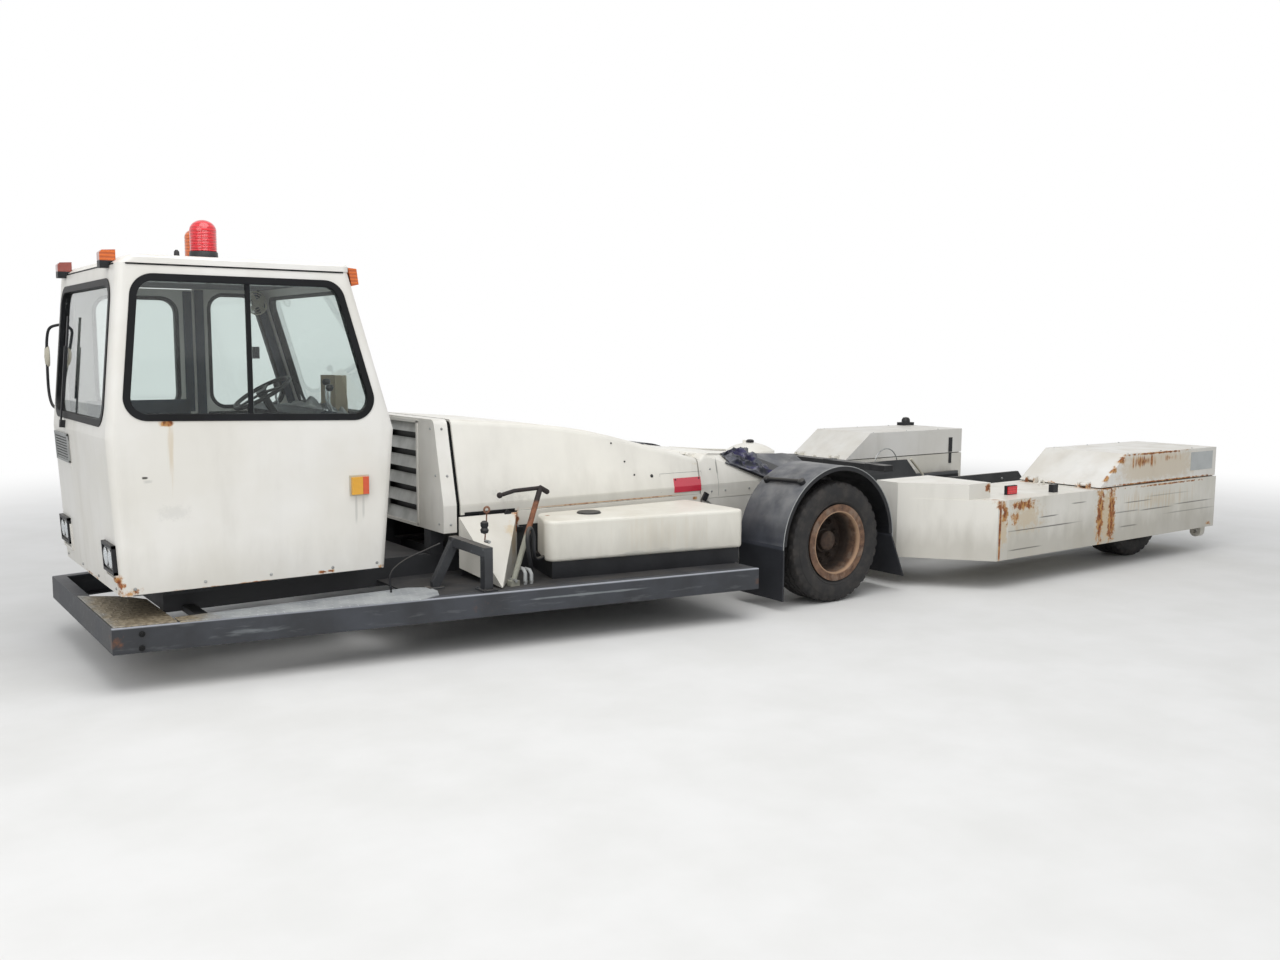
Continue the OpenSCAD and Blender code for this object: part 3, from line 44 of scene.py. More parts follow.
def st(a):  # station, metres behind the bumper's face, to X
    return 4.21 - a


def mirrored(p, sign):  # a point taken over to the far side where sign is -1
    return Vector((p.x, sign * p.y, p.z))


def roundEdges(obj, width, angle):
    edge = obj.modifiers.new("softEdges", "BEVEL")
    edge.width = width
    edge.segments = 2
    edge.limit_method = "ANGLE"
    edge.angle_limit = math.radians(angle)
    edge.harden_normals = True


# Colour and material helpers

def linear(code):
    parts = [int(code[i:i + 2], 16) / 255 for i in (1, 3, 5)]
    return tuple(c / 12.92 if c <= 0.04045 else ((c + 0.055) / 1.055) ** 2.4 for c in parts) + (1.0,)


def addNode(tree, kind, values=None, out=0, **settings):
    node = tree.nodes.new("ShaderNode" + kind)
    for key, value in settings.items():
        setattr(node, key, value)
    for key, value in (values or {}).items():
        if isinstance(value, bpy.types.NodeSocket):
            tree.links.new(value, node.inputs[key])
        else:
            node.inputs[key].default_value = value
    return node.outputs[out] if node.outputs else node


# noise with perMetre features a metre; low and high spread it to 0..1
def grain(tree, where, perMetre, low=0.0, high=1.0, detail=3.0, stretch=(1, 1, 1), rough=0.55):
    scaled = addNode(tree, "Mapping", {0: where, 3: tuple(perMetre * s for s in stretch)})
    value = addNode(tree, "TexNoise", {"Vector": scaled, "Scale": 1.0, "Detail": detail, "Roughness": rough})
    return addNode(tree, "MapRange", {0: value, 1: low, 2: high}, interpolation_type="SMOOTHSTEP")


def layer(tree, under, over, cover, amount=1.0):  # lays one colour over another as far as cover says
    under, over = (linear(c) if isinstance(c, str) else c for c in (under, over))
    share = addNode(tree, "Math", {0: cover, 1: amount}, operation="MULTIPLY", use_clamp=True)
    return addNode(tree, "Mix", {0: share, 6: under, 7: over}, 2, data_type="RGBA")


def settled(tree, low, high, cloud):  # 1 on what faces up, where dust settles, broken up by a cloud
    z = addNode(tree, "SeparateXYZ", {0: addNode(tree, "NewGeometry", out="Normal")}, 2)
    flat = addNode(tree, "MapRange", {0: z, 1: low, 2: high}, interpolation_type="SMOOTHSTEP")
    return addNode(tree, "Math", {0: flat, 1: cloud}, operation="MULTIPLY")


def fromAxle(tree, where):  # distance from the steered wheels' axis
    ring = addNode(tree, "Mapping", {0: where, 1: (axleBack, 0, -wheelHigh), 3: (1, 0, 1)})
    return addNode(tree, "VectorMath", {0: ring}, "Value", operation="LENGTH")


# Marks: middle, half size, how they lie, how much of them shows and how broken they are
def marksMask(tree, where, marks, fields):
    total = None
    for at, size, lies, fill, broken, amount in marks:
        place = addNode(tree, "Mapping", {0: where, 1: tuple(-p / s for p, s in zip(at, size)),
                                          3: tuple(1 / s for s in size)})
        place = addNode(tree, "VectorMath", {0: place, 1: place}, "Vector", operation="MULTIPLY")
        reach = addNode(tree, "VectorMath", {0: place}, "Value", operation="LENGTH")
        reach = addNode(tree, "Math", {0: reach}, operation="SQRT")
        edge = addNode(tree, "Math", {0: fields[lies], 1: broken, 2: fill - broken / 2}, operation="MULTIPLY_ADD")
        edge = addNode(tree, "Math", {0: edge, 1: reach}, operation="SUBTRACT")
        edge = addNode(tree, "MapRange", {0: edge, 1: -0.25, 2: 0.35, 4: amount}, interpolation_type="SMOOTHSTEP")
        inside = addNode(tree, "Math", {0: reach, 1: 1.7}, operation="LESS_THAN")
        edge = addNode(tree, "Math", {0: edge, 1: inside}, operation="MULTIPLY")
        total = edge if total is None else addNode(tree, "Math", {0: total, 1: edge}, operation="MAXIMUM")
    return total


def newMaterial(name):
    material = bpy.data.materials.new(name)
    material.use_nodes = True
    tree = material.node_tree
    tree.nodes.clear()
    return material, tree, addNode(tree, "TexCoord", out="Object")


def finishMaterial(tree, values, height=None, depth=0.001):
    if height is not None:
        values["Normal"] = addNode(tree, "Bump", {"Height": height, "Distance": depth})
    addNode(tree, "OutputMaterial", {"Surface": addNode(tree, "BsdfPrincipled", values)})


# Weathered white paint: brushed two-pack over steel and alloy, gelcoat over glass fibre. Reads as a soft, faintly
# warm white with grey rain film, dust on what faces up, grime low down and rust where the steel shows through.
def weatheredPaint(name, look, marks=()):
    material, tree, where = newMaterial(name)
    broad = grain(tree, where, 1.7, 0.3, 0.7, 4)
    film = grain(tree, where, 7, 0.45, 0.9, 4, (1, 1, 0.2))  # rain film, about 140 mm apart
    colour = layer(tree, look["base"], look["aged"], broad)
    colour = layer(tree, colour, look["grime"], film, look.get("film", 0.2))
    dust = settled(tree, 0.5, 0.98, grain(tree, where, 5, 0.3, 0.75, 5))
    colour = layer(tree, colour, "#b9ad98", dust, look.get("dust", 0.25))
    if "foot" in look:  # splash grime over the lower edge
        height = addNode(tree, "SeparateXYZ", {0: where}, 2)
        ragged = addNode(tree, "Math", {0: grain(tree, where, 11, 0, 1, 4, (1, 1, 0.3)), 1: -0.2, 2: height},
                         operation="MULTIPLY_ADD")
        low = addNode(tree, "MapRange", {0: ragged, 1: look["foot"], 2: look["foot"] - 0.2})
        colour = layer(tree, colour, look["grime"], low, look.get("footAmount", 0.35))
    colour = layer(tree, colour, "#77736c", grain(tree, where, 170, 0.74, 0.78, 2), look.get("chips", 0.25))
    patch = grain(tree, where, 24, 0, 1, 5, (1, 1, 1), 0.68)
    fields = {"run": grain(tree, where, 46, 0, 1, 3, (1, 1, 0.05)), "patch": patch,
              "scrape": grain(tree, where, 38, 0, 1, 3, (0.05, 1, 1))}
    rough = addNode(tree, "Math", {0: film, 1: 0.15, 2: look.get("rough", 0.42)}, operation="MULTIPLY_ADD")
    relief = addNode(tree, "Math", {0: grain(tree, where, 1.4, 0, 1, 2), 1: 8.0}, operation="MULTIPLY")
    for tone, code, core in (("faint", "#c7b597", None), ("dark", "#4a4741", None), ("grey", "#8f918c", None),
                             ("pale", "#efeee9", None), ("rust", "#b98a52", "#6e3a20")):
        mask = marksMask(tree, where, [m[1:] for m in marks if m[0] == tone], fields)
        if mask is None:
            continue
        colour = layer(tree, colour, code, mask)
        if core:  # thick scale in the middle of the rust, roughened and raised
            heart = addNode(tree, "Math", {0: mask, 1: grain(tree, where, 34, 0.3, 0.62, 4, (1, 1, 0.5))},
                            operation="MULTIPLY")
            heart = addNode(tree, "MapRange", {0: heart, 1: 0.3, 2: 0.8})
            scale = layer(tree, core, "#9a5a30", grain(tree, where, 60, 0.4, 0.62, 4))
            colour = layer(tree, colour, scale, heart, 0.95)
            rough = addNode(tree, "Math", {0: mask, 1: 0.4, 2: rough}, operation="MULTIPLY_ADD", use_clamp=True)
            bumps = addNode(tree, "Math", {0: heart, 1: patch}, operation="MULTIPLY")
            relief = addNode(tree, "Math", {0: bumps, 1: 1.5, 2: relief}, operation="MULTIPLY_ADD")
    finishMaterial(tree, {"Base Color": colour, "Roughness": rough, "IOR": 1.5}, relief, 0.0012)
    return material


whiteLook = {"base": "#e5e3de", "aged": "#dcd9d1", "grime": "#9b968a", "film": 0.16, "dust": 0.28, "rough": 0.4}

# tone, middle, half size, how it lies, fill, brokenness, amount
cabMarks = [
    ("rust", (3.905, 0.7, 1.287), (0.032, 0.03, 0.014), "patch", 1.0, 0.9, 1.0),
    ("faint", (3.89, 0.7, 1.14), (0.022, 0.03, 0.20), "run", 0.7, 1.4, 0.55),
    ("dark", (4.014, 0.7, 1.029), (0.014, 0.03, 0.006), "patch", 0.9, 0.5, 1.0),
    ("grey", (4.0, 0.7, 1.01), (0.03, 0.03, 0.012), "patch", 0.6, 0.8, 0.3),
    ("rust", (3.14, 0.7, 0.474), (0.12, 0.05, 0.015), "patch", 0.3, 1.8, 1.0),
    ("rust", (2.8, 0.7, 0.47), (0.07, 0.05, 0.018), "patch", 0.3, 1.8, 1.0),
    ("rust", (3.55, 0.7, 0.462), (0.6, 0.05, 0.010), "patch", 0.25, 1.8, 1.0),
    ("rust", (4.09, 0.68, 0.48), (0.07, 0.06, 0.035), "patch", 0.4, 1.6, 1.0),
    ("grey", (2.95, 0.7, 0.80), (0.008, 0.03, 0.08), "run", 0.8, 1.2, 0.35),
    ("grey", (2.91, 0.7, 0.81), (0.008, 0.03, 0.07), "run", 0.8, 1.2, 0.3),
    ("rust", (4.15, 0.66, 0.53), (0.05, 0.07, 0.06), "patch", 0.55, 1.6, 1.0),
    ("rust", (4.16, 0.66, 0.47), (0.05, 0.09, 0.03), "patch", 0.5, 1.6, 1.0),
    ("rust", (4.15, 0.0, 0.465), (0.06, 0.5, 0.014), "patch", 0.2, 1.8, 1.0),
    # painted shade of a shallow dent: the soft grey patch low on the near side
    ("grey", (3.89, 0.7, 0.85), (0.13, 0.03, 0.06), "patch", 0.5, 1.2, 0.16),
    ("faint", (2.74, 0.3, 0.6), (0.06, 0.25, 0.14), "run", 0.5, 1.6, 0.4),
]
hoodMarks = [
    ("rust", (1.1, 0.571, 0.696), (0.75, 0.02, 0.005), "scrape", 0.9, 1.2, 0.65),
    # the long grey band low on the near side is painted shade on the strip under the crease, which faces straight out
    ("grey", (1.3, 0.57, 0.718), (1.0, 0.03, 0.026), "scrape", 1.0, 0.4, 0.22),
    ("faint", (1.3, -0.57, 0.70), (1.1, 0.04, 0.02), "scrape", 0.6, 1.6, 0.6),
    ("grey", (1.9, 0.55, 0.78), (0.24, 0.06, 0.08), "patch", 0.4, 1.6, 0.25),
    ("dark", (0.30, 0.55, 0.86), (0.006, 0.05, 0.045), "patch", 1.0, 0.6, 0.55),
    ("faint", (0.5, 0.5, 0.9), (0.06, 0.08, 0.02), "patch", 0.5, 1.6, 0.5),
    ("rust", (1.90, 0.59, 0.62), (0.03, 0.05, 0.08), "patch", 0.8, 1.3, 1.0),
    ("faint", (1.97, 0.68, 0.52), (0.07, 0.12, 0.14), "patch", 0.7, 1.4, 0.8),
    ("rust", (0.511, 0.57, 0.665), (0.02, 0.02, 0.012), "patch", 0.9, 0.8, 1.0),
]
tankMarks = [
    ("faint", (1.2, 1.0, 0.55), (0.5, 0.3, 0.14), "run", 0.45, 1.6, 0.12),
    ("rust", (1.772, 0.739, 0.671), (0.014, 0.012, 0.01), "patch", 1.0, 0.6, 1.0),
    ("grey", (1.2, 1.05, 0.44), (0.7, 0.3, 0.03), "scrape", 0.45, 1.6, 0.4),
]
armMarks = [
    ("rust", (-2.53, 1.67, 0.43), (0.045, 0.04, 0.21), "patch", 0.9, 1.7, 1.0),
    ("rust", (-2.68, 1.67, 0.43), (0.048, 0.04, 0.21), "patch", 0.9, 1.7, 1.0),
    ("dark", (-2.535, 1.67, 0.43), (0.006, 0.04, 0.2), "run", 0.8, 1.2, 0.8),
    ("dark", (-2.685, 1.67, 0.43), (0.006, 0.04, 0.2), "run", 0.8, 1.2, 0.8),
    ("faint", (-2.6, 1.67, 0.42), (0.15, 0.05, 0.23), "patch", 0.8, 1.4, 0.9),
    ("rust", (-2.62, 1.64, 0.632), (0.2, 0.09, 0.014), "patch", 0.6, 1.6, 1.0),
    ("rust", (-2.5, 1.55, 0.645), (0.06, 0.12, 0.03), "patch", 0.6, 1.5, 1.0),
    ("rust", (-2.5, 1.05, 0.645), (0.06, 0.12, 0.03), "patch", 0.6, 1.5, 1.0),
    ("rust", (-1.56, 1.67, 0.585), (0.17, 0.04, 0.045), "patch", 0.65, 1.8, 1.0),
    ("rust", (-1.48, 1.67, 0.49), (0.06, 0.04, 0.07), "patch", 0.55, 1.8, 0.9),
    ("faint", (-1.62, 1.67, 0.5), (0.26, 0.05, 0.14), "patch", 0.6, 1.6, 0.7),
    ("rust", (-3.5, 1.67, 0.615), (0.7, 0.04, 0.010), "patch", 0.6, 1.8, 0.9),
    ("faint", (-3.3, 1.67, 0.5), (0.8, 0.05, 0.12), "run", 0.35, 1.8, 0.5),
    ("rust", (-4.12, 1.67, 0.24), (0.08, 0.05, 0.03), "patch", 0.4, 1.8, 0.8),
    ("rust", (-2.6, -1.67, 0.45), (0.2, 0.06, 0.2), "run", 0.5, 1.6, 1.0),
    ("dark", (-3.5, -1.67, 0.45), (0.5, 0.05, 0.1), "scrape", 0.45, 1.6, 0.5),
    ("rust", (-4.21, 1.31, 0.4), (0.04, 0.34, 0.16), "run", 0.3, 1.8, 0.9),
    ("rust", (-4.21, -1.31, 0.4), (0.04, 0.34, 0.16), "run", 0.3, 1.8, 0.9),
    ("dark", (-3.3, 0.95, 0.35), (0.8, 0.05, 0.1), "scrape", 0.45, 1.6, 0.6),
    ("dark", (-3.3, -0.95, 0.35), (0.8, 0.05, 0.1), "scrape", 0.45, 1.6, 0.6),
]
# Long thin scratches on the near arm: middle x, z, half length, how strong
for x, z, reach, amount in ((-1.79, 0.407, 0.45, 0.8), (-1.87, 0.48, 0.11, 0.8), (-2.25, 0.55, 0.1, 0.7),
                            (-3.02, 0.503, 0.24, 0.75), (-3.34, 0.428, 0.23, 0.7), (-3.8, 0.375, 0.34, 0.45),
                            (-2.92, 0.32, 0.1, 0.6), (-3.88, 0.44, 0.32, 0.7), (-2.89, 0.434, 0.16, 0.55),
                            (-1.62, 0.272, 0.17, 0.7), (-3.5, 0.53, 0.3, 0.35)):
    armMarks.append(("dark", (x, 1.67, z), (reach, 0.02, 0.005), "scrape", 0.95, 1.0, amount))
coverMarks = [
    ("rust", (-3.3, 1.66, 0.868), (0.46, 0.03, 0.009), "patch", 0.8, 1.5, 1.0),
    ("rust", (-3.12, 1.66, 0.81), (0.27, 0.03, 0.06), "run", 0.5, 1.8, 0.9),
    ("rust", (-3.5, 1.66, 0.82), (0.2, 0.03, 0.04), "run", 0.4, 1.8, 0.6),
    ("faint", (-3.32, 1.66, 0.765), (0.5, 0.04, 0.1), "patch", 1.1, 0.9, 0.6),
    ("rust", (-2.8, 1.66, 0.83), (0.05, 0.03, 0.035), "patch", 0.7, 1.5, 1.0),
    ("rust", (-2.7, 1.66, 0.765), (0.05, 0.03, 0.035), "patch", 0.7, 1.5, 1.0),
    ("rust", (-2.6, 1.66, 0.7), (0.05, 0.03, 0.035), "patch", 0.7, 1.5, 1.0),
    ("rust", (-2.52, 1.3, 0.65), (0.03, 0.36, 0.02), "patch", 0.4, 1.8, 1.0),
    ("rust", (-3.4, 1.66, 0.643), (0.8, 0.03, 0.008), "patch", 0.8, 1.5, 1.0),
    ("faint", (-3.3, -1.66, 0.8), (0.5, 0.05, 0.09), "run", 0.45, 1.6, 0.6),
]
crossMarks = [
    ("dark", (-1.153, 1.3, 0.52), (0.010, 0.04, 0.035), "patch", 1.1, 0.4, 0.6),
    ("dark", (-1.36, 1.37, 0.52), (0.05, 0.08, 0.007), "patch", 0.7, 1.0, 0.7),
    ("dark", (-1.063, 1.25, 0.31), (0.009, 0.03, 0.013), "patch", 1.1, 0.4, 0.7),
    ("dark", (-1.102, 1.28, 0.31), (0.009, 0.03, 0.013), "patch", 1.1, 0.4, 0.7),
    ("rust", (-1.38, 1.5, 0.7), (0.05, 0.05, 0.04), "patch", 0.5, 1.6, 1.0),
    ("rust", (-1.33, 1.63, 0.6), (0.06, 0.1, 0.035), "patch", 0.8, 1.5, 1.0),
    ("rust", (-1.318, 1.66, 0.42), (0.012, 0.03, 0.21), "run", 1.1, 0.8, 1.0),
    ("rust", (-1.37, 1.67, 0.53), (0.05, 0.03, 0.09), "patch", 0.6, 1.7, 1.0),
    ("faint", (-1.36, 1.67, 0.45), (0.05, 0.03, 0.17), "patch", 0.8, 1.4, 0.8),
    ("faint", (-1.1, -1.45, 0.6), (0.3, 0.25, 0.1), "run", 0.45, 1.6, 0.5),
    ("rust", (-1.41, 0.0, 0.5), (0.04, 0.7, 0.12), "run", 0.3, 1.6, 0.8),
]
cabPaint = weatheredPaint("twoPackPaintOnCab", dict(whiteLook, foot=0.6, footAmount=0.2), cabMarks)
# on the hoods the darkening from 0.8 m down is grime together with painted shade on the band under the crease
hoodPaint = weatheredPaint("gelcoatOnHoods", dict(whiteLook, base="#e6e3da", foot=0.8, footAmount=0.25, rough=0.34),
                           hoodMarks)
tankPaint = weatheredPaint("gelcoatOnTanks", dict(whiteLook, base="#e0ddd3", aged="#d6d2c6", foot=0.52), tankMarks)
armPaint = weatheredPaint("brushedPaintOnArms", dict(whiteLook, base="#dedbd3", aged="#d1cdc1", film=0.3, foot=0.4,
                                                     footAmount=0.5, chips=0.6), armMarks)
coverPaint = weatheredPaint("brushedPaintOnCovers", dict(whiteLook, film=0.24, dust=0.4, chips=0.4), coverMarks)
crossPaint = weatheredPaint("brushedPaintOnCrossFrame", dict(whiteLook, base="#dedbd2", film=0.3, foot=0.4,
                                                             footAmount=0.45, chips=0.5), crossMarks)
cowlPaint = weatheredPaint("brushedPaintOnCowl", dict(whiteLook, foot=0.72, footAmount=0.3))


# Black chassis enamel: brushed on, greyed by sun and dust, scraped to paler primer along the outside.
def blackEnamel(name, look, marks=()):
    material, tree, where = newMaterial(name)
    broad = grain(tree, where, 3, 0.3, 0.72, 5)
    colour = layer(tree, look["base"], look["faded"], broad)
    dust = settled(tree, 0.4, 0.98, grain(tree, where, 7, 0.25, 0.7, 6))
    colour = layer(tree, colour, "#84796a", dust, look.get("dust", 0.5))
    if look.get("edge"):  # bright line along the slanted upper outside corner: worn paint with a painted highlight
        x, y, z = (addNode(tree, "SeparateXYZ", {0: where}, k) for k in range(3))
        y = addNode(tree, "Math", {0: y}, operation="ABSOLUTE")
        out = addNode(tree, "Math", {0: x, 1: 0.16854, 2: y}, operation="MULTIPLY_ADD")
        out = addNode(tree, "MapRange", {0: out, 1: look["edge"] - 0.022, 2: look["edge"] - 0.006})
        top = addNode(tree, "MapRange", {0: z, 1: 0.321, 2: 0.327})
        wornAndSheen = addNode(tree, "Math", {0: out, 1: top}, operation="MULTIPLY")
        colour = layer(tree, colour, "#a3a6ad", wornAndSheen, 0.85)
    scrape = grain(tree, where, 30, 0, 1, 4, (0.035, 1, 1))
    colour = layer(tree, colour, "#85888a", grain(tree, where, 30, 0.58, 0.72, 4, (0.035, 1, 1)),
                   look.get("scrapes", 0.3))
    fields = {"patch": grain(tree, where, 24, 0, 1, 5, (1, 1, 1), 0.68), "scrape": scrape}
    for tone, code in (("rust", "#6b432a"), ("grey", "#9aa0a2")):
        mask = marksMask(tree, where, [m[1:] for m in marks if m[0] == tone], fields)
        if mask is not None:
            colour = layer(tree, colour, code, mask)
    rough = addNode(tree, "Math", {0: broad, 1: 0.15, 2: look["rough"]}, operation="MULTIPLY_ADD")
    finishMaterial(tree, {"Base Color": colour, "Roughness": rough, "IOR": 1.5}, fields["patch"], 0.0012)
    return material


beamMarks = [
    ("rust", (2.36, 0.98, 0.262), (0.14, 0.12, 0.04), "patch", 0.6, 1.6, 0.45),
    ("rust", (4.19, 0.78, 0.26), (0.05, 0.08, 0.05), "patch", 0.45, 1.6, 0.8),
    ("grey", (1.75, 1.19, 0.275), (0.4, 0.12, 0.006), "scrape", 0.9, 1.2, 0.45),
    ("grey", (3.5, 0.86, 0.25), (0.4, 0.08, 0.03), "scrape", 0.4, 1.6, 0.35),
    ("rust", (0.66, 1.37, 0.25), (0.04, 0.06, 0.04), "patch", 0.35, 1.6, 0.4),
    ("grey", (2.36, -0.98, 0.262), (0.5, 0.05, 0.05), "scrape", 0.45, 1.6, 0.4),
]
beamPaint = blackEnamel("enamelOnBeam", {"base": "#26282c", "faded": "#3b3e44", "rough": 0.5, "dust": 0.06,
                                         "scrapes": 0.14, "edge": 1.4895}, beamMarks)
framePaint = blackEnamel("enamelOnChassis", {"base": "#1b1c1e", "faded": "#2b2c2f", "rough": 0.55, "dust": 0.1,
                                             "scrapes": 0.08})
cradlePaint = blackEnamel("enamelOnCradle", {"base": "#2c2e31", "faded": "#4a4b4c", "rough": 0.5, "dust": 0.5,
                                             "scrapes": 0.5})
fittingPaint = blackEnamel("enamelOnFittings", {"base": "#28292c", "faded": "#3f4245", "rough": 0.45, "dust": 0.4,
                                                "scrapes": 0.2})
sheetPaint = blackEnamel("enamelOnAxle", {"base": "#34322f", "faded": "#57504a", "rough": 0.6, "dust": 0.3,
                                          "scrapes": 0.2})


# Rubber, cloth and soft plastic: moulded or woven, dull, with dust lying as a bloom on what faces up.
def softStuff(name, base, faded, rough, dust, dustCode="#8f8676", grainMm=6.0, tint=None, ior=1.45):
    material, tree, where = newMaterial(name)
    colour = layer(tree, base, faded, grain(tree, where, 5, 0.3, 0.7, 5))
    bloom = settled(tree, -0.1, 0.95, grain(tree, where, 6, 0.2, 0.75, 6))
    colour = layer(tree, colour, dustCode, bloom, dust)
    colour = tint(tree, where, colour) if tint else colour
    finishMaterial(tree, {"Base Color": colour, "Roughness": rough, "IOR": ior},
                   grain(tree, where, 1000 / grainMm, 0, 1, 3), 0.0006)
    return material


def guardShadeTint(tree, where, colour):  # painted shade, near black, inside the arch; darker below 0.4 m on the flaps; the far hood's facet stays white
    # painted shade: surfaces inside the guard's arch, nearer the axle than its lip, go near black
    inside = addNode(tree, "MapRange", {0: fromAxle(tree, where), 1: 0.5035, 2: 0.5005})
    colour = layer(tree, colour, "#0d0d0f", inside, 0.9)
    x, y, z = (addNode(tree, "SeparateXYZ", {0: where}, k) for k in range(3))
    colour = layer(tree, colour, "#17181b", addNode(tree, "MapRange", {0: z, 1: 0.405, 2: 0.395}), 0.75)
    far = addNode(tree, "Math", {0: addNode(tree, "MapRange", {0: y, 1: -0.2, 2: -0.21}),
                                 1: addNode(tree, "MapRange", {0: y, 1: -0.875, 2: -0.865})}, operation="MULTIPLY")
    return layer(tree, colour, "#dcd9d1", far)


def apronTintAndHighlights(tree, where, colour):  # purple-blue where it is new; pale grey patches on the folds are painted highlights
    colour = layer(tree, colour, "#2c2950", grain(tree, where, 9, 0.5, 0.62, 3))
    # painted highlights: pale grey patches scattered over the folds
    return layer(tree, colour, "#9a98a3", grain(tree, where, 13, 0.52, 0.7, 4), 0.6)


def leverTint(tree, where, colour):  # black grip, pale green-grey foot
    z = addNode(tree, "SeparateXYZ", {0: where}, 2)
    colour = layer(tree, colour, "#17171a", addNode(tree, "MapRange", {0: z, 1: 0.765, 2: 0.785}), 0.95)
    return layer(tree, colour, "#8d8f83", addNode(tree, "MapRange", {0: z, 1: 0.615, 2: 0.59}), 0.9)


gasketRubber = softStuff("extrudedGasketRubber", "#0d0e0f", "#17181b", 0.5, 0.05, ior=1.3)
# the guards' heavy pale bloom on upward faces is dust together with painted sky light on their tops
guardRubber = softStuff("mouldedGuardRubber", "#2b2e36", "#42454d", 0.55, 0.65, "#93928f", tint=guardShadeTint)
apronVinyl = softStuff("foldedApronVinyl", "#23262f", "#30343f", 0.42, 0.3, "#8f8f92", 3, apronTintAndHighlights)
darkPlastic = softStuff("mouldedDarkPlastic", "#16171a", "#232427", 0.45, 0.15, ior=1.38)
consolePlastic = softStuff("texturedConsolePlastic", "#2e333c", "#3c424c", 0.55, 0.25, "#8b8980", 3)
trimPanel = softStuff("foamBackedTrimPanel", "#353c48", "#404855", 0.65, 0.1, "#6e7076", 4)
headliner = softStuff("foamHeadliner", "#747277", "#807e83", 0.8, 0.0, "#77757a", 3)
hoseRubber = softStuff("braidedHoseRubber", "#18191b", "#2a2c2f", 0.5, 0.4)
palePlastic = softStuff("yellowedPlastic", "#c9c4b4", "#b5af9d", 0.5, 0.1)
greyPlastic = softStuff("greyVentPlastic", "#9fa1a0", "#8e908f", 0.5, 0.2)
platePlastic = softStuff("blankGreyPlate", "#b9bcbb", "#a9acab", 0.5, 0.1)
linen = softStuff("speckledGreyCloth", "#4a4d52", "#b9bab9", 0.85, 0.0, "#888888", 30)
cardboard = softStuff("printedCard", "#b3a58d", "#9c8f7a", 0.7, 0.0, "#888888", 8)


# Worn tyre rubber: grey-black, browned by dust on the sides and in the grooves.
def tyreMaterial():
    material, tree, where = newMaterial("wornTyreRubber")
    colour = layer(tree, "#1e1e1f", "#2c2a29", grain(tree, where, 7, 0.3, 0.75, 4))
    colour = layer(tree, colour, "#57504a", grain(tree, where, 16, 0.4, 0.8, 4), 0.3)
    finishMaterial(tree, {"Base Color": colour, "Roughness": 0.72, "IOR": 1.45}, grain(tree, where, 260), 0.0008)
    return material


tyreRubber = tyreMaterial()


# Rusted steel: plate or casting whose paint has gone, in brown scale with orange blooms. Rims darken with depth.
def rustedSteel(name, tones, left=None, leftAmount=0.0, lipY=None, tint=None):
    material, tree, where = newMaterial(name)
    scale = grain(tree, where, 22, 0.3, 0.7, 5, (1, 1, 1), 0.65)
    colour = layer(tree, tones[0], tones[1], scale)
    colour = layer(tree, colour, tones[2], grain(tree, where, 120, 0.56, 0.74, 4), 0.7)
    if left:
        colour = layer(tree, colour, left, grain(tree, where, 12, 0.5, 0.62, 5), leftAmount)
    if lipY:  # the bowl of a rim lies in shade and old grease
        y = addNode(tree, "Math", {0: addNode(tree, "SeparateXYZ", {0: where}, 1)}, operation="ABSOLUTE")
        deep = addNode(tree, "MapRange", {0: y, 1: lipY - 0.012, 2: lipY - 0.1})
        colour = layer(tree, colour, "#181513", deep, 0.85)
    colour = tint(tree, where, colour) if tint else colour
    finishMaterial(tree, {"Base Color": colour, "Roughness": 0.8, "IOR": 1.5}, scale, 0.0018)
    return material


def rimHighlightTint(tree, where, colour):  # painted highlight along the inner edge of the flange
    ring = fromAxle(tree, where)
    ring = addNode(tree, "Math", {0: addNode(tree, "MapRange", {0: ring, 1: 0.191, 2: 0.197}),
                                  1: addNode(tree, "MapRange", {0: ring, 1: 0.212, 2: 0.204})}, operation="MULTIPLY")
    y = addNode(tree, "Math", {0: addNode(tree, "SeparateXYZ", {0: where}, 1)}, operation="ABSOLUTE")
    lip = addNode(tree, "MapRange", {0: y, 1: 1.25, 2: 1.27})
    ring = addNode(tree, "Math", {0: ring, 1: lip}, operation="MULTIPLY")
    return layer(tree, colour, "#b8977a", ring, 0.8)


rimFront = rustedSteel("rustedWheelSteel", ("#4f3a2e", "#7a5c47", "#33261f"), "#8f7f70", 0.4, 1.282, rimHighlightTint)
rimRear = rustedSteel("rustedRearWheelSteel", ("#4b3127", "#7a4e38", "#32231d"), "#8d8177", 0.35, 1.4425)
leverRust = rustedSteel("rustedBarSteel", ("#5a3a2b", "#8a5a3e", "#33251e"), tint=leverTint)
ringRust = rustedSteel("rustedRingSteel", ("#5a3a2c", "#86614c", "#3a2c26"))


# Turned, rolled and cast metal: bare or plated, dulled by a film of old grease.
def bareMetal(name, code, rough, metallic=0.9):
    material, tree, where = newMaterial(name)
    film = grain(tree, where, 18, 0.4, 0.8, 4)
    rough = addNode(tree, "Math", {0: film, 1: 0.25, 2: rough}, operation="MULTIPLY_ADD")
    finishMaterial(tree, {"Base Color": layer(tree, code, "#4a4640", film, 0.7), "Metallic": metallic,
                          "Roughness": rough}, grain(tree, where, 300, 0, 1, 2, (1, 1, 6)), 0.0002)
    return material


turnedSteel = bareMetal("turnedShaftSteel", "#8b8d8f", 0.3)
zincSteel = bareMetal("zincPlatedFasteners", "#a9abaa", 0.35, 0.85)
alloyRail = bareMetal("anodisedRail", "#b6b8b8", 0.3)
engineAlloy = bareMetal("oilyCastAlloy", "#5a5c5d", 0.45, 0.6)
chromeSteel = bareMetal("chromedCylinderRod", "#c9cccd", 0.12, 1.0)


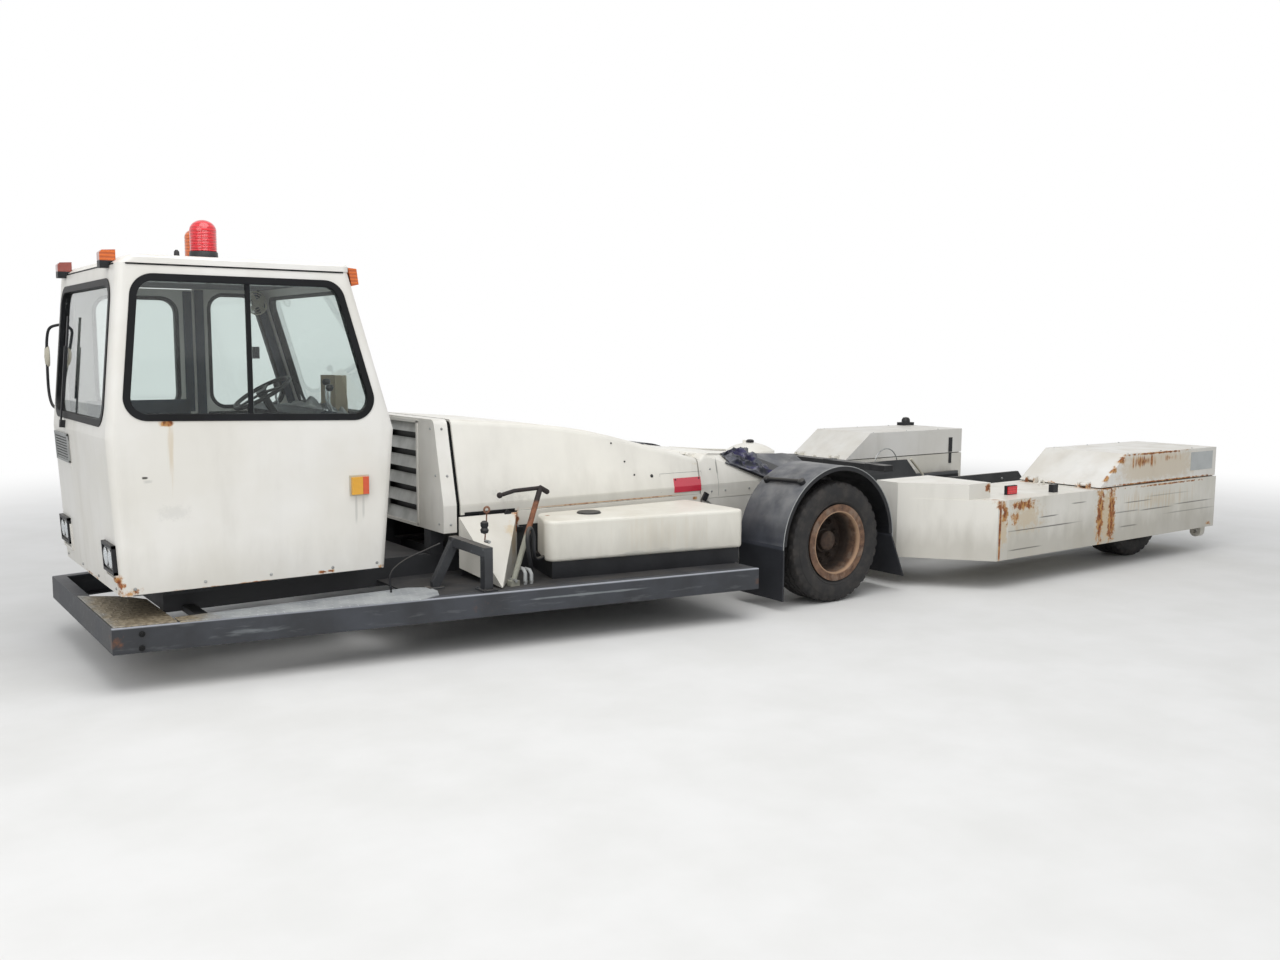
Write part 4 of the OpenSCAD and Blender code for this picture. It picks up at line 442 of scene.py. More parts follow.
# Rolled tread plate: bars about 30 mm apart, dull and scuffed; dried sand covers the near front corner.
def treadPlateMaterial():
    material, tree, where = newMaterial("rolledTreadPlate")
    colour = layer(tree, "#b0b3b3", "#94979a", grain(tree, where, 6, 0.3, 0.7, 5))
    bars = []
    for turn in (0.785, -0.785):
        turned = addNode(tree, "Mapping", {0: where, 2: (0, 0, turn), 3: (33, 11, 33)})
        near = addNode(tree, "TexVoronoi", {"Vector": turned, "Scale": 1.0, "Randomness": 0.0}, "Distance")
        bars.append(addNode(tree, "MapRange", {0: near, 1: 0.2, 2: 0.1}, interpolation_type="SMOOTHSTEP"))
    height = addNode(tree, "Math", {0: bars[0], 1: bars[1]}, operation="MAXIMUM")
    colour = layer(tree, colour, "#c9cbcb", height, 0.4)
    sand = marksMask(tree, where, [((3.99, 0.4, 0.335), (0.22, 0.5, 0.06), "patch", 1.1, 0.5, 1.0)],
                     {"patch": grain(tree, where, 20, 0, 1, 5)})
    dirt = layer(tree, "#a2957e", "#716654", grain(tree, where, 45, 0.35, 0.65, 5))
    colour = layer(tree, colour, dirt, sand)
    finishMaterial(tree, {"Base Color": colour, "Metallic": 0.25, "Roughness": 0.5}, height, 0.0014)
    return material


treadPlate = treadPlateMaterial()


# Float glass: clear with a grey-green tint and a thin film of dust that dulls it a little.
def paneGlass():
    material, tree, where = newMaterial("floatGlass")
    dull = addNode(tree, "MapRange", {0: grain(tree, where, 4, 0.5, 0.8, 5), 3: 0.01, 4: 0.05})
    finishMaterial(tree, {"Base Color": linear("#e3eae8"), "Transmission Weight": 1.0, "IOR": 1.45,
                          "Roughness": dull})
    return material


glass = paneGlass()


# Moulded lens plastic: tinted right through, glossy, with fine ribs inside.
def lensPlastic(name, code, deep, glow=0.0, ribs=110):
    material, tree, where = newMaterial(name)
    wave = addNode(tree, "TexWave", {"Vector": where, "Scale": ribs / 6.28}, "Fac", bands_direction="Z")
    finishMaterial(tree, {"Base Color": layer(tree, deep, code, wave), "Roughness": 0.16, "IOR": 1.49,
                          "Coat Weight": 0.6, "Emission Color": linear(code), "Emission Strength": glow},
                   wave, 0.0006)
    return material


redLens = lensPlastic("redBeaconPolycarbonate", "#d8202e", "#b0141f", 0.12)
amberLens = lensPlastic("amberBeaconPolycarbonate", "#d2661d", "#a84a14", 0.08)
yellowLens = lensPlastic("yellowLampAcrylic", "#e2a62c", "#c08a22", 0.08, 300)
orangeLens = lensPlastic("orangeLampAcrylic", "#d8542a", "#b0401c", 0.08, 300)
markerLens = lensPlastic("redBrownMarkerAcrylic", "#9a4030", "#6e2c22", 0.03, 300)
plateRed = lensPlastic("redPlateEnamel", "#c8384a", "#c03446", 0.0, 0.5)
clearLens = lensPlastic("fadedHeadlampLens", "#d7dbdd", "#a8afb3", 0.0, 260)


# Seat vinyl: calendered with a leather grain of about 3 mm, low sheen where it is sat on.
def seatVinylMaterial():
    material, tree, where = newMaterial("calenderedSeatVinyl")
    leather = addNode(tree, "TexVoronoi", {"Vector": where, "Scale": 330.0}, "Distance", feature="DISTANCE_TO_EDGE")
    colour = layer(tree, "#26272b", "#34353a", grain(tree, where, 8, 0.3, 0.7, 4))
    finishMaterial(tree, {"Base Color": colour, "Roughness": 0.5, "IOR": 1.5},
                   addNode(tree, "MapRange", {0: leather, 2: 0.25}), 0.0004)
    return material


seatVinyl = seatVinylMaterial()


# Folded louvre steel: light grey stove enamel; behind it the finned radiator core is painted near black, its own dark
# colour together with painted shade in the recess.
def louvreMaterial():
    material, tree, where = newMaterial("stoveEnamelledLouvres")
    film = grain(tree, where, 8, 0.3, 0.7, 5)
    along = addNode(tree, "SeparateXYZ", {0: where}, 0)
    # painted shade: all that lies deeper than the louvres' face goes near black over the dark core
    shadedBehind = addNode(tree, "MapRange", {0: along, 1: st(1.858), 2: st(1.872)})
    fins = addNode(tree, "TexWave", {"Vector": where, "Scale": 40.0}, "Fac", bands_direction="Y")
    colour = layer(tree, "#c3c4c1", "#a3a4a1", film)
    colour = layer(tree, colour, layer(tree, "#0c0c0d", "#1b1b1c", fins), shadedBehind)
    finishMaterial(tree, {"Base Color": colour, "Roughness": 0.5, "IOR": 1.5}, film)
    return material


louvreEnamel = louvreMaterial()

# Which CAD node takes which finish, and how far its edges are rounded, in millimetres
nodeFinish = {
    "chassis_frame": (framePaint, 3), "bumper_beam": (beamPaint, 4), "step_plates": (treadPlate, 1),
    "deck_plates": (framePaint, 1), "cab_shell": (cabPaint, 3), "cab_glass": (glass, 0),
    "window_seals": (gasketRubber, 2), "cab_floor": (darkPlastic, 2), "driver_seat": (seatVinyl, 0),
    "console": (consolePlastic, 6), "steering_wheel": (darkPlastic, 0), "roof_beacons": (redLens, 0),
    "lamps": (yellowLens, 0), "wipers": (darkPlastic, 1), "radiator_cowl": (cowlPaint, 3),
    "radiator_grille": (louvreEnamel, 0), "hood_seal": (gasketRubber, 2), "engine_block": (engineAlloy, 4),
    "rear_hood": (hoodPaint, 4), "side_fairings": (hoodPaint, 4), "side_tanks": (tankPaint, 0),
    "tank_bases": (darkPlastic, 2), "mudguards": (guardRubber, 2), "front_axle": (sheetPaint, 4),
    "cross_frame": (crossPaint, 6), "arm_left": (armPaint, 6), "arm_right": (armPaint, 6),
    "rear_shafts": (turnedSteel, 1), "bracket_stand": (fittingPaint, 3), "hand_lever": (leverRust, 0),
    "engine_hood": (hoodPaint, 3), "cab_door": (cabPaint, 2), "door_glass": (gasketRubber, 0),
    "knuckle_left": (turnedSteel, 2), "knuckle_right": (turnedSteel, 2), "tyre_front_left": (tyreRubber, 0),
    "rim_front_left": (rimFront, 0), "tyre_front_right": (tyreRubber, 0), "rim_front_right": (rimFront, 0),
    "tyre_rear_left": (tyreRubber, 0), "rim_rear_left": (rimRear, 0), "tyre_rear_right": (tyreRubber, 0),
    "rim_rear_right": (rimRear, 0), "cover_left": (coverPaint, 5), "cover_right": (coverPaint, 5),
    "cradle": (cradlePaint, 3), "gate_left": (cradlePaint, 3), "gate_right": (cradlePaint, 3),
}
for name, (material, radius) in nodeFinish.items():
    obj = nodes[name]
    for slot in obj.material_slots:
        slot.material = material
    if radius:
        weld = obj.modifiers.new("joinCorners", "WELD")
        weld.merge_threshold = 0.00005
        roundEdges(obj, radius / 1000, 38)
print("finishes are on the frame")


def net(rows, cols, roundRows=False, roundCols=False):  # faces between rows of points, closed where asked
    faces = []
    for i in range(rows if roundRows else rows - 1):
        for k in range(cols if roundCols else cols - 1):
            j, n = (i + 1) % rows, (k + 1) % cols
            faces.append([i * cols + k, i * cols + n, j * cols + n, j * cols + k])
    return faces


# Mesh builder for the fittings: shapes are gathered, then made into one piece
class Piece:
    def __init__(self, material):
        self.verts, self.faces, self.slots, self.tones = [], [], [], []
        self.use(material)

    def use(self, material):
        if material not in self.tones:
            self.tones.append(material)
        self.now = self.tones.index(material)
        return self

    def add(self, verts, faces):
        start = len(self.verts)
        self.verts += [Vector(v) for v in verts]
        self.faces += [[start + i for i in f] for f in faces]
        self.slots += [self.now] * len(faces)

    def box(self, lo, hi, turn=None, about=None):
        corners = [Vector((x, y, z)) for x in (lo[0], hi[0]) for y in (lo[1], hi[1]) for z in (lo[2], hi[2])]
        if turn is not None:
            centre = Vector(about) if about else (Vector(lo) + Vector(hi)) / 2
            corners = [centre + turn @ (c - centre) for c in corners]
        self.add(corners, [[0, 1, 3, 2], [4, 6, 7, 5], [0, 4, 5, 1], [2, 3, 7, 6], [0, 2, 6, 4], [1, 5, 7, 3]])

    def lathe(self, profile, origin, axis, steps=24, closed=False):  # profile: [along the axis, radius]
        axis = Vector(axis).normalized()
        side = axis.orthogonal().normalized()
        other = axis.cross(side)
        origin, verts, faces, n = Vector(origin), [], [], len(profile)
        for k in range(steps):
            a = 2 * math.pi * k / steps
            d = side * math.cos(a) + other * math.sin(a)
            verts += [origin + axis * p[0] + d * max(p[1], 0.0) for p in profile]
        for k in range(steps):
            b = (k + 1) % steps
            for i in range(n if closed else n - 1):
                j = (i + 1) % n
                faces.append([k * n + i, b * n + i, b * n + j, k * n + j])
        if not closed:
            faces.append([k * n for k in range(steps)][::-1])
            faces.append([k * n + n - 1 for k in range(steps)])
        self.add(verts, faces)

    def rod(self, a, b, r, r2=None, steps=14):
        a, b = Vector(a), Vector(b)
        self.lathe([(0, r), ((b - a).length, r if r2 is None else r2)], a, b - a, steps)

    def tube(self, points, r, steps=10):
        points = [Vector(p) for p in points]
        side = (points[1] - points[0]).orthogonal().normalized()
        verts = []
        for i, p in enumerate(points):
            ahead = (points[min(i + 1, len(points) - 1)] - points[max(i - 1, 0)]).normalized()
            side = (side - ahead * side.dot(ahead)).normalized()
            other = ahead.cross(side)
            rr = r[i] if isinstance(r, (list, tuple)) else r
            for k in range(steps):
                a = 2 * math.pi * k / steps
                verts.append(p + (side * math.cos(a) + other * math.sin(a)) * rr)
        ends = [list(range(steps))[::-1], [(len(points) - 1) * steps + k for k in range(steps)]]
        self.add(verts, net(len(points), steps, roundCols=True) + ends)

    def prism(self, outline, thick):  # outline: 3-D points in one plane, thick: vector
        thick, n = Vector(thick), len(outline)
        verts = [Vector(p) for p in outline] + [Vector(p) + thick for p in outline]
        faces = [list(range(n))[::-1], [n + i for i in range(n)]]
        faces += [[i, (i + 1) % n, n + (i + 1) % n, n + i] for i in range(n)]
        self.add(verts, faces)

    def bolt(self, at, axis, across, tall):
        axis, at = Vector(axis).normalized(), Vector(at)
        self.lathe([(-0.001, across * 0.72), (0.0015, across * 0.72), (0.002, across * 0.68)], at, axis, 18)
        r = across / 2 / math.cos(math.pi / 6)
        self.lathe([(0.001, r), (tall * 0.85, r), (tall, r * 0.86)], at, axis, 6)
        tip = [(tall * 0.9, across * 0.3), (tall * 1.35, across * 0.3), (tall * 1.45, across * 0.25)]
        self.lathe(tip, at, axis, 10)

    def make(self, name, body, bevel=0.0, smooth=40):
        mesh = bpy.data.meshes.new(name)
        mesh.from_pydata(self.verts, [], self.faces)
        mesh.polygons.foreach_set("material_index", self.slots)
        for tone in self.tones:
            mesh.materials.append(tone)
        work = bmesh.new()
        work.from_mesh(mesh)
        bmesh.ops.recalc_face_normals(work, faces=work.faces)
        work.to_mesh(mesh)
        work.free()
        mesh.polygons.foreach_set("use_smooth", [True] * len(mesh.polygons))
        mesh.set_sharp_from_angle(angle=math.radians(smooth))
        obj = bpy.data.objects.new(name, mesh)
        bpy.context.scene.collection.objects.link(obj)
        if bevel:
            roundEdges(obj, bevel, 45)
        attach(obj, body)
        return obj


def curveThrough(points, count):  # smooth line through points, count steps between each two
    points = [Vector(p) for p in points]
    ends = [points[0] * 2 - points[1]] + points + [points[-1] * 2 - points[-2]]
    line = []
    for i in range(1, len(ends) - 2):
        a, b, c, d = ends[i - 1:i + 3]
        for k in range(count):
            t = k / count
            line.append(0.5 * ((2 * b) + (c - a) * t + (2 * a - 5 * b + 4 * c - d) * t * t
                               + (3 * b - a - 3 * c + d) * t ** 3))
    return line + [points[-1]]


def arc(centre, r, half, count):  # points round a level axis across the machine, half of them to a half turn
    return [Vector(centre) + Vector((r * math.cos(a * math.pi / half), 0, r * math.sin(a * math.pi / half)))
            for a in range(count)]


sides = ((1, "left"), (-1, "right"))

# Tyres: ribbed tread with zigzag grooves, notched shoulders and moulded rings on the walls
tyre = {"grooves": (-0.066, -0.022, 0.022, 0.066), "grooveHalf": 0.005, "grooveDeep": 0.012, "zigzag": 0.005,
        "steps": 216, "notchEvery": 6, "notchDeep": 0.009}
wheels = [("front", 1, "left", st(4.34), 1.1495), ("front", -1, "right", st(4.34), 1.1495),
          ("rear", 1, "left", st(7.62), 1.31), ("rear", -1, "right", st(7.62), 1.31)]
wall = [(0.246, 0.1085), (0.27, 0.1325), (0.277, 0.1365), (0.279, 0.1345), (0.29, 0.1375), (0.296, 0.1395),
        (0.31, 0.1422), (0.325, 0.1415), (0.345, 0.1395), (0.352, 0.1388), (0.354, 0.1358), (0.366, 0.1325)]
for end, sign, where, x, y in wheels:
    profile = [(r, -w, False, 0) for r, w in wall]
    profile += [(0.38, -0.1262, False, 1), (0.392, -0.1198, False, 1), (0.3995, -0.094, False, 0)]
    for g in tyre["grooves"]:
        h, deep = tyre["grooveHalf"], 0.4 - tyre["grooveDeep"]
        profile += [(0.3998, g - h, True, 0), (deep, g - h * 0.7, True, 0), (deep, g + h * 0.7, True, 0),
                    (0.3998, g + h, True, 0)]
    profile += [(0.3995, 0.094, False, 0), (0.392, 0.1198, False, 1), (0.38, 0.1262, False, 1)]
    profile += [(r, w, False, 0) for r, w in reversed(wall)]
    part, n = Piece(tyreRubber), len(profile)
    verts = []
    for k in range(tyre["steps"]):
        a = 2 * math.pi * k / tyre["steps"]
        shift = tyre["zigzag"] * (1 if k // 3 % 2 else -1)
        notch = tyre["notchDeep"] if k % tyre["notchEvery"] < 2 else 0.0
        for r, w, zig, lug in profile:
            rr = r - notch * lug
            verts.append((x + rr * math.cos(a), sign * (y + w + (shift if zig else 0)), wheelHigh + rr * math.sin(a)))
    steps = tyre["steps"]
    part.add(verts, [[k * n + i, (k + 1) % steps * n + i, (k + 1) % steps * n + (i + 1) % n, k * n + (i + 1) % n]
                     for k in range(steps) for i in range(n)])
    body = f"wheel_{end}_{where}"
    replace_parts(part.make(f"tyre{end}{where}", body, smooth=28), f"tyre_{end}_{where}")

    # Wheel nuts, hub cap and valve on the rim's disc
    hub = Piece(turnedSteel if end == "rear" else rimFront)
    face = sign * (y - 0.034)
    for k in range(10):
        a = 2 * math.pi * (k + 0.5) / 10
        hub.bolt((x + 0.137 * math.cos(a), face, 0.4 + 0.137 * math.sin(a)), (0, sign, 0), 0.027, 0.022)
    hub.lathe([(-0.002, 0.068), (0.03, 0.066), (0.038, 0.058), (0.042, 0.03), (0.044, 0.0)],
              (x, sign * (y + 0.0102), 0.4), (0, sign, 0), 28)
    hub.use(gasketRubber).rod((x + 0.17, sign * (y - 0.035), 0.4), (x + 0.178, sign * (y + 0.01), 0.4), 0.005)
    hub.make(f"wheelNuts{end}{where}", body)
print("tyres and wheel nuts done")

# Roof beacons: black foot, fresnel-ringed lens with a domed top
beacons = {"red": {"at": (st(0.65), 0.2), "r": 0.068, "foot": 0.06, "top": 0.2235, "lens": redLens},
           "amber": {"at": (3.523, -0.085), "r": 0.056, "foot": 0.05, "top": 0.2, "lens": amberLens}}
part = Piece(darkPlastic)
for spec in beacons.values():
    x, y = spec["at"]
    r, foot = spec["r"], spec["foot"]
    part.use(darkPlastic).lathe([(0, r + 0.012), (0.01, r + 0.012), (0.014, r + 0.005), (foot - 0.006, r + 0.003),
                                 (foot, r - 0.004)], (x, y, roofTop), (0, 0, 1), 40)
    body = spec["top"] - foot - r * 0.85
    rings = [(foot - 0.001, r - 0.002)]
    for k in range(12):
        rings += [(foot + body * (k + 0.15) / 12, r), (foot + body * (k + 0.9) / 12, r - 0.0018)]
    rings += [(foot + body + r * 0.85 * math.sin(a * math.pi / 16), r * math.cos(a * math.pi / 16))
              for a in range(9)]
    part.use(spec["lens"]).lathe(rings, (x, y, roofTop), (0, 0, 1), 40)
    part.use(zincSteel)
    for a in (0.6, 2.7, 4.8):
        part.bolt((x + (r + 0.008) * math.cos(a), y + (r + 0.008) * math.sin(a), roofTop + 0.0105), (0, 0, 1),
                  0.006, 0.003)
part.use(darkPlastic).box((3.42, 0.04, roofTop), (3.72, 0.30, 2.1035))
part.lathe([(0, 0.03), (0.012, 0.03), (0.02, 0.018), (0.09, 0.014), (0.1, 0.006)], (3.57, -0.29, roofTop),
           (0, 0, 1), 20)
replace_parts(part.make("beacons", "chassis", smooth=50), "roof_beacons")


frontLean = math.atan(0.038 / 0.761)  # how far the lower front wall leans
tilt = Matrix.Rotation(frontLean, 3, "Y")


# Points on the cab's front wall: x out of it, y across, z up along it from the belt
def onFront(x, y, z):
    a = frontLean
    return Vector((st(0.031) + x * math.cos(a) + z * math.sin(a), y, 1.219 - x * math.sin(a) + z * math.cos(a)))


def boxOnFront(part, lo, hi, y0=0.0, z0=0.0):
    part.box(lo, hi)
    part.verts[-8:] = [onFront(v.x, y0 + v.y, z0 + v.z) for v in part.verts[-8:]]


lamps = Piece(darkPlastic)
headlamp = {"y": 0.553, "z": -0.585, "half": (0.113, 0.073), "deep": 0.02, "bar": 0.016, "lens": 0.05}
for sign, where in sides:
    y0, z0 = sign * headlamp["y"], headlamp["z"]
    w, h = headlamp["half"]
    # Frame round the pair of lenses, from four bars, over a backing plate
    lamps.use(darkPlastic)
    bar = headlamp["bar"]
    for ya, yb, za, zb in ((-w, w, h - bar, h), (-w, w, -h, -h + bar), (-w, -w + bar, -h, h), (w - bar, w, -h, h)):
        boxOnFront(lamps, (-0.001, ya, za), (headlamp["deep"], yb, zb), y0, z0)
    boxOnFront(lamps.use(greyPlastic), (0.0005, -w + 0.01, -h + 0.01), (0.009, w - 0.01, h - 0.01), y0, z0)
    for s in (-1, 1):
        at, out = onFront(0.008, y0 + s * headlamp["lens"], z0), tilt @ Vector((1, 0, 0))
        lamps.use(chromeSteel).lathe([(0, 0.046), (0.009, 0.046), (0.011, 0.043), (0.009, 0.041)], at, out, 32)
        lamps.use(clearLens).lathe([(0, 0.041), (0.008, 0.041), (0.013, 0.03), (0.0155, 0.015), (0.016, 0.0)],
                                   at, out, 32)
    # Marker lamp that stands over the roof's front edge: black foot, red-brown front, orange outer end
    y0 = sign * 0.535
    outline = [(0.066, 2.064), (0.066, 2.102), (0.078, 2.114), (0.138, 2.118), (0.138, 2.0705), (0.126, 2.064)]
    lamps.use(markerLens).prism([(st(a), y0 - 0.029, z) for a, z in outline], (0, 0.058, 0))
    lamps.use(amberLens).prism([(st(a), y0 + sign * 0.0285, z) for a, z in outline], (0, sign * 0.0015, 0))
    foot = [(0.066, 2.03), (0.066, 2.0645), (0.126, 2.0645), (0.117, 2.0543), (0.107, 2.0543), (0.107, 2.03)]
    lamps.use(darkPlastic).prism([(st(a), y0 - 0.03, z) for a, z in foot], (0, 0.06, 0))
    # Rear lamp on the upper corner of the cab's rear wall
    y0 = sign * 0.623
    lens = [(1.281, 1.982), (1.321, 1.992), (1.310, 2.074), (1.263, 2.078)]
    foot = [(1.2694, 1.988), (1.2815, 1.986), (1.2640, 2.046), (1.2525, 2.046)]
    lamps.use(amberLens).prism([(st(a), y0 - 0.028, z) for a, z in lens], (0, 0.056, 0))
    lamps.use(darkPlastic).prism([(st(a), y0 - 0.024, z) for a, z in foot], (0, 0.048, 0))
    # Side lamp: grey rim, yellow lens to the front and orange-red to the rear
    x, z, y = 2.933, 0.924, 0.7003
    lamps.use(palePlastic).box((x - 0.054, sign * y, z - 0.055), (x + 0.054, sign * (y + 0.010), z + 0.055))
    lamps.use(yellowLens).box((x - 0.012, sign * (y + 0.009), z - 0.047), (x + 0.047, sign * (y + 0.028), z + 0.047))
    lamps.use(orangeLens).box((x - 0.047, sign * (y + 0.009), z - 0.047), (x - 0.013, sign * (y + 0.026), z + 0.047))
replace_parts(lamps.make("lampUnits", "chassis", bevel=0.004), "lamps")

# Vent in the front wall: frame and slats of grey plastic over a black sheet that paints the shade in its openings
vent = {"y": (-0.595, -0.235), "z": (-0.186, -0.03), "slats": 9}
part = Piece(greyPlastic)
(ya, yb), (za, zb) = vent["y"], vent["z"]
bars = [(ya, yb, zb - 0.012, zb, 0.012), (ya, yb, za, za + 0.012, 0.012), (ya, ya + 0.014, za, zb, 0.012),
        (yb - 0.014, yb, za, zb, 0.012)]
pitch = (zb - za - 0.02) / vent["slats"]
bars += [(ya + 0.01, yb - 0.01, za + 0.012 + pitch * (k + 0.15), za + 0.012 + pitch * (k + 0.7), 0.009)
         for k in range(vent["slats"])]
for y0, y1, z0, z1, out in bars:
    boxOnFront(part, (0.0035, y0, z0), (out, y1, z1))
# black sheet behind the slats: painted shade in the vent's openings
boxOnFront(part.use(gasketRubber), (0.0032, ya + 0.01, za + 0.01), (0.005, yb - 0.01, zb - 0.01))
part.make("frontVent", "chassis", bevel=0.0015)
print("lamps, beacons and vent done")


def cabRear(z):  # station of the cab's rear face at a height
    return 1.425 + 0.069 * (z - 0.458) / 0.761 if z < 1.219 else 1.494 - 0.243 * (z - 1.219) / 0.831


# Trim on the cab's outside: drip strip under the roof's rim, foot strip and screws
part = Piece(gasketRubber)
for sign, _ in sides:
    part.box((st(1.215), sign * 0.7002, 2.0435), (st(0.15), sign * 0.7035, 2.0505))
    part.box((st(1.40), sign * 0.7002, 0.4585), (st(0.12), sign * 0.7018, 0.4625))
part.box((st(0.1115) - 0.002, -0.64, 2.0435), (st(0.1115) + 0.0025, 0.64, 2.0505))
part.use(zincSteel)
for sign, _ in sides:
    for x in (4.08, 3.75, 3.42, 3.09, 2.84):
        part.bolt((x, sign * 0.7005, 0.492), (0, sign, 0), 0.011, 0.004)
for y in (-0.6, -0.2, 0.2, 0.6):
    part.bolt(onFront(0.0005, y, -0.735), tilt @ Vector((1, 0, 0)), 0.011, 0.004)
part.make("cabTrim", "chassis")

# Round mirror on a bent stalk at the far front corner
part = Piece(darkPlastic)
stalk = curveThrough([(4.112, -0.655, 1.78), (4.165, -0.70, 1.76), (4.178, -0.735, 1.70), (4.18, -0.75, 1.60),
                      (4.18, -0.755, 1.42), (4.172, -0.72, 1.33), (4.15, -0.66, 1.30)], 6)
part.tube(stalk, 0.008, 10)
part.use(palePlastic).lathe([(0, 0.0), (0.004, 0.045), (0.014, 0.06), (0.022, 0.06), (0.026, 0.055)],
                            (4.192, -0.765, 1.60), (-1, 0.1, 0), 28)
part.use(chromeSteel).lathe([(0, 0.055), (0.001, 0.054), (0.0012, 0)], (4.1662, -0.7624, 1.60), (-1, 0.1, 0), 28)
part.make("mirror", "chassis")

# Door furniture on the far side: pull handle, lock, lining panels and arm rest
part = Piece(darkPlastic)
part.tube(curveThrough([(3.50, -0.7005, 1.02), (3.50, -0.735, 1.03), (3.50, -0.738, 1.10), (3.50, -0.735, 1.17),
                        (3.50, -0.7005, 1.18)], 5), 0.009, 10)
part.lathe([(0, 0.024), (0.008, 0.024), (0.01, 0.02)], (3.50, -0.7003, 0.96), (0, -1, 0), 24)
part.use(zincSteel).lathe([(0, 0.011), (0.012, 0.011), (0.013, 0.009)], (3.50, -0.7003, 0.96), (0, -1, 0), 16)
part.use(trimPanel).box((3.43, -0.6595, 0.56), (4.00, -0.6515, 1.345))
part.box((3.402, -0.6595, 1.27), (3.452, -0.6515, 1.985))
part.box((3.402, -0.6595, 0.56), (3.428, -0.6515, 1.25))
part.use(darkPlastic).box((3.55, -0.6515, 1.02), (3.88, -0.628, 1.06))
part.box((3.55, -0.63, 1.02), (3.88, -0.618, 1.09))
part.make("doorTrim", "cab_door", bevel=0.003)


# Door window: extruded gasket with outer and inner lips, and its pane
def roundedWindow(inset, y):
    x0, x1, z0, z1, r = 3.465 + inset, 3.96 - inset, 1.27 + inset, 1.965 - inset, max(0.112 - inset, 0.03)
    return [Vector((cx + r * math.cos(math.pi / 2 * (q + k / 8)), y, cz + r * math.sin(math.pi / 2 * (q + k / 8))))
            for q, (cx, cz) in enumerate(((x1 - r, z1 - r), (x0 + r, z1 - r), (x0 + r, z0 + r), (x1 - r, z0 + r)))
            for k in range(9)]


part = Piece(gasketRubber)
profile = [(0.001, -0.7003), (0.0, -0.7035), (0.005, -0.705), (0.029, -0.705), (0.035, -0.701), (0.035, -0.662),
           (0.031, -0.6598), (0.0125, -0.6598), (0.0125, -0.7003)]
rings = [roundedWindow(inset, y) for inset, y in profile]
part.add([p for ring in rings for p in ring], net(len(rings), len(rings[0]), True, True))
part.use(glass).prism(roundedWindow(0.0335, -0.6835), (0, 0.006, 0))
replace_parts(part.make("doorWindow", "cab_door", smooth=35), "door_glass")

# Cab lining: headliner, pillar and panel trim, window rails
part = Piece(headliner)
part.prism([(x, y, 2.002) for x, y in ((st(0.15), -0.657), (st(1.222), -0.657), (st(1.222), 0.657),
                                       (st(0.15), 0.657))], (0, 0, 0.006))
part.use(trimPanel)
for sign, x0, x1, z0, z1 in ((-1, 3.333, 3.386, 0.49, 1.996), (-1, 2.86, 3.325, 0.49, 1.262),
                             (1, 2.86, 4.10, 0.49, 1.262), (-1, 4.045, 4.085, 0.49, 1.99)):
    part.box((x0, sign * 0.6595, z0), (x1, sign * 0.652, z1))
for sign in (-1, 1):  # slanted strip behind the side windows
    part.prism([(st(cabRear(z) - inset), sign * 0.652, z) for z, inset in
                ((1.27, 0.042), (1.27, 0.092), (1.995, 0.092), (1.995, 0.042))], (0, sign * 0.0075, 0))
part.use(darkPlastic).box((3.10, -0.6518, 1.255), (3.325, -0.63, 1.268))
part.make("cabLining", "chassis", bevel=0.002)

part = Piece(alloyRail)
part.box((st(0.7375), 0.6605, 1.312), (st(0.7325), 0.6715, 1.965))
for z in (1.308, 1.968):
    part.box((3.03 if z > 1.5 else 2.87, 0.6605, z - 0.003), (4.0, 0.666, z + 0.003))
part.use(darkPlastic).box((st(0.775), 0.654, 1.60), (st(0.742), 0.6705, 1.66))
part.make("windowRails", "chassis")
print("cab outside and lining done")

# Driver's seat: foam cushions under vinyl, with sewn channels, on a steel plinth
seat = {"cushion": {"mid": (st(0.67), 0, 0.838), "half": (0.23, 0.238, 0.058), "lean": 0, "channels": 5},
        "back": {"mid": (st(0.478), 0, 1.078), "half": (0.05, 0.226, 0.178), "lean": 0.14, "channels": 5}}
for name, spec in seat.items():
    cushion, mid, half = Piece(seatVinyl), Vector(spec["mid"]), Vector(spec["half"])
    turn = Matrix.Rotation(spec["lean"], 3, "Y")
    rows, cols, verts = 64, 96, []
    for i in range(rows + 1):
        u = -math.pi / 2 + math.pi * i / rows
        for k in range(cols):
            v = 2 * math.pi * k / cols
            d = [math.cos(u) * math.cos(v), math.cos(u) * math.sin(v), math.sin(u)]
            if name == "back":
                d = [d[2], d[1], d[0]]
            p = [math.copysign(abs(t) ** 0.28, t) for t in d]
            flat = 0 if name == "back" else 2
            puff = (1 - abs(p[1]) ** 2.5) * (1 - abs(p[2 - flat if name == "back" else 0]) ** 2.5)
            seam = abs(math.sin(math.pi * spec["channels"] * (p[1] + 1) / 2)) ** 0.35
            wrinkle = noise.noise(Vector((p[0] * 4, p[1] * 6, p[2] * 4 + (9 if flat else 0)))) * 0.004
            scale = 0.8 + 0.14 * puff + 0.06 * puff * seam
            q = [p[j] * half[j] * (scale + wrinkle * 8 if j == flat else 0.985) for j in range(3)]
            verts.append(mid + turn @ Vector(q))
    cushion.add(verts, net(rows + 1, cols, roundCols=True))
    obj = cushion.make(f"seat{name}", "chassis", smooth=80)
    if name == "cushion":
        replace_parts(obj, "driver_seat")
plinth = Piece(darkPlastic)
plinth.box((st(0.84), -0.17, 0.4823), (st(0.50), 0.17, 0.52))
for z in range(7):  # rubber bellows over the suspension
    half = 0.155 if z % 2 else 0.14
    plinth.box((st(0.67) - half, -half, 0.52 + z * 0.03), (st(0.67) + half, half, 0.55 + z * 0.03))
plinth.use(zincSteel).box((st(0.86), -0.2, 0.73), (st(0.48), 0.2, 0.785))
plinth.tube([(st(0.66), 0.22, 0.76), (st(0.60), 0.232, 0.76), (st(0.54), 0.232, 0.79)], 0.008)
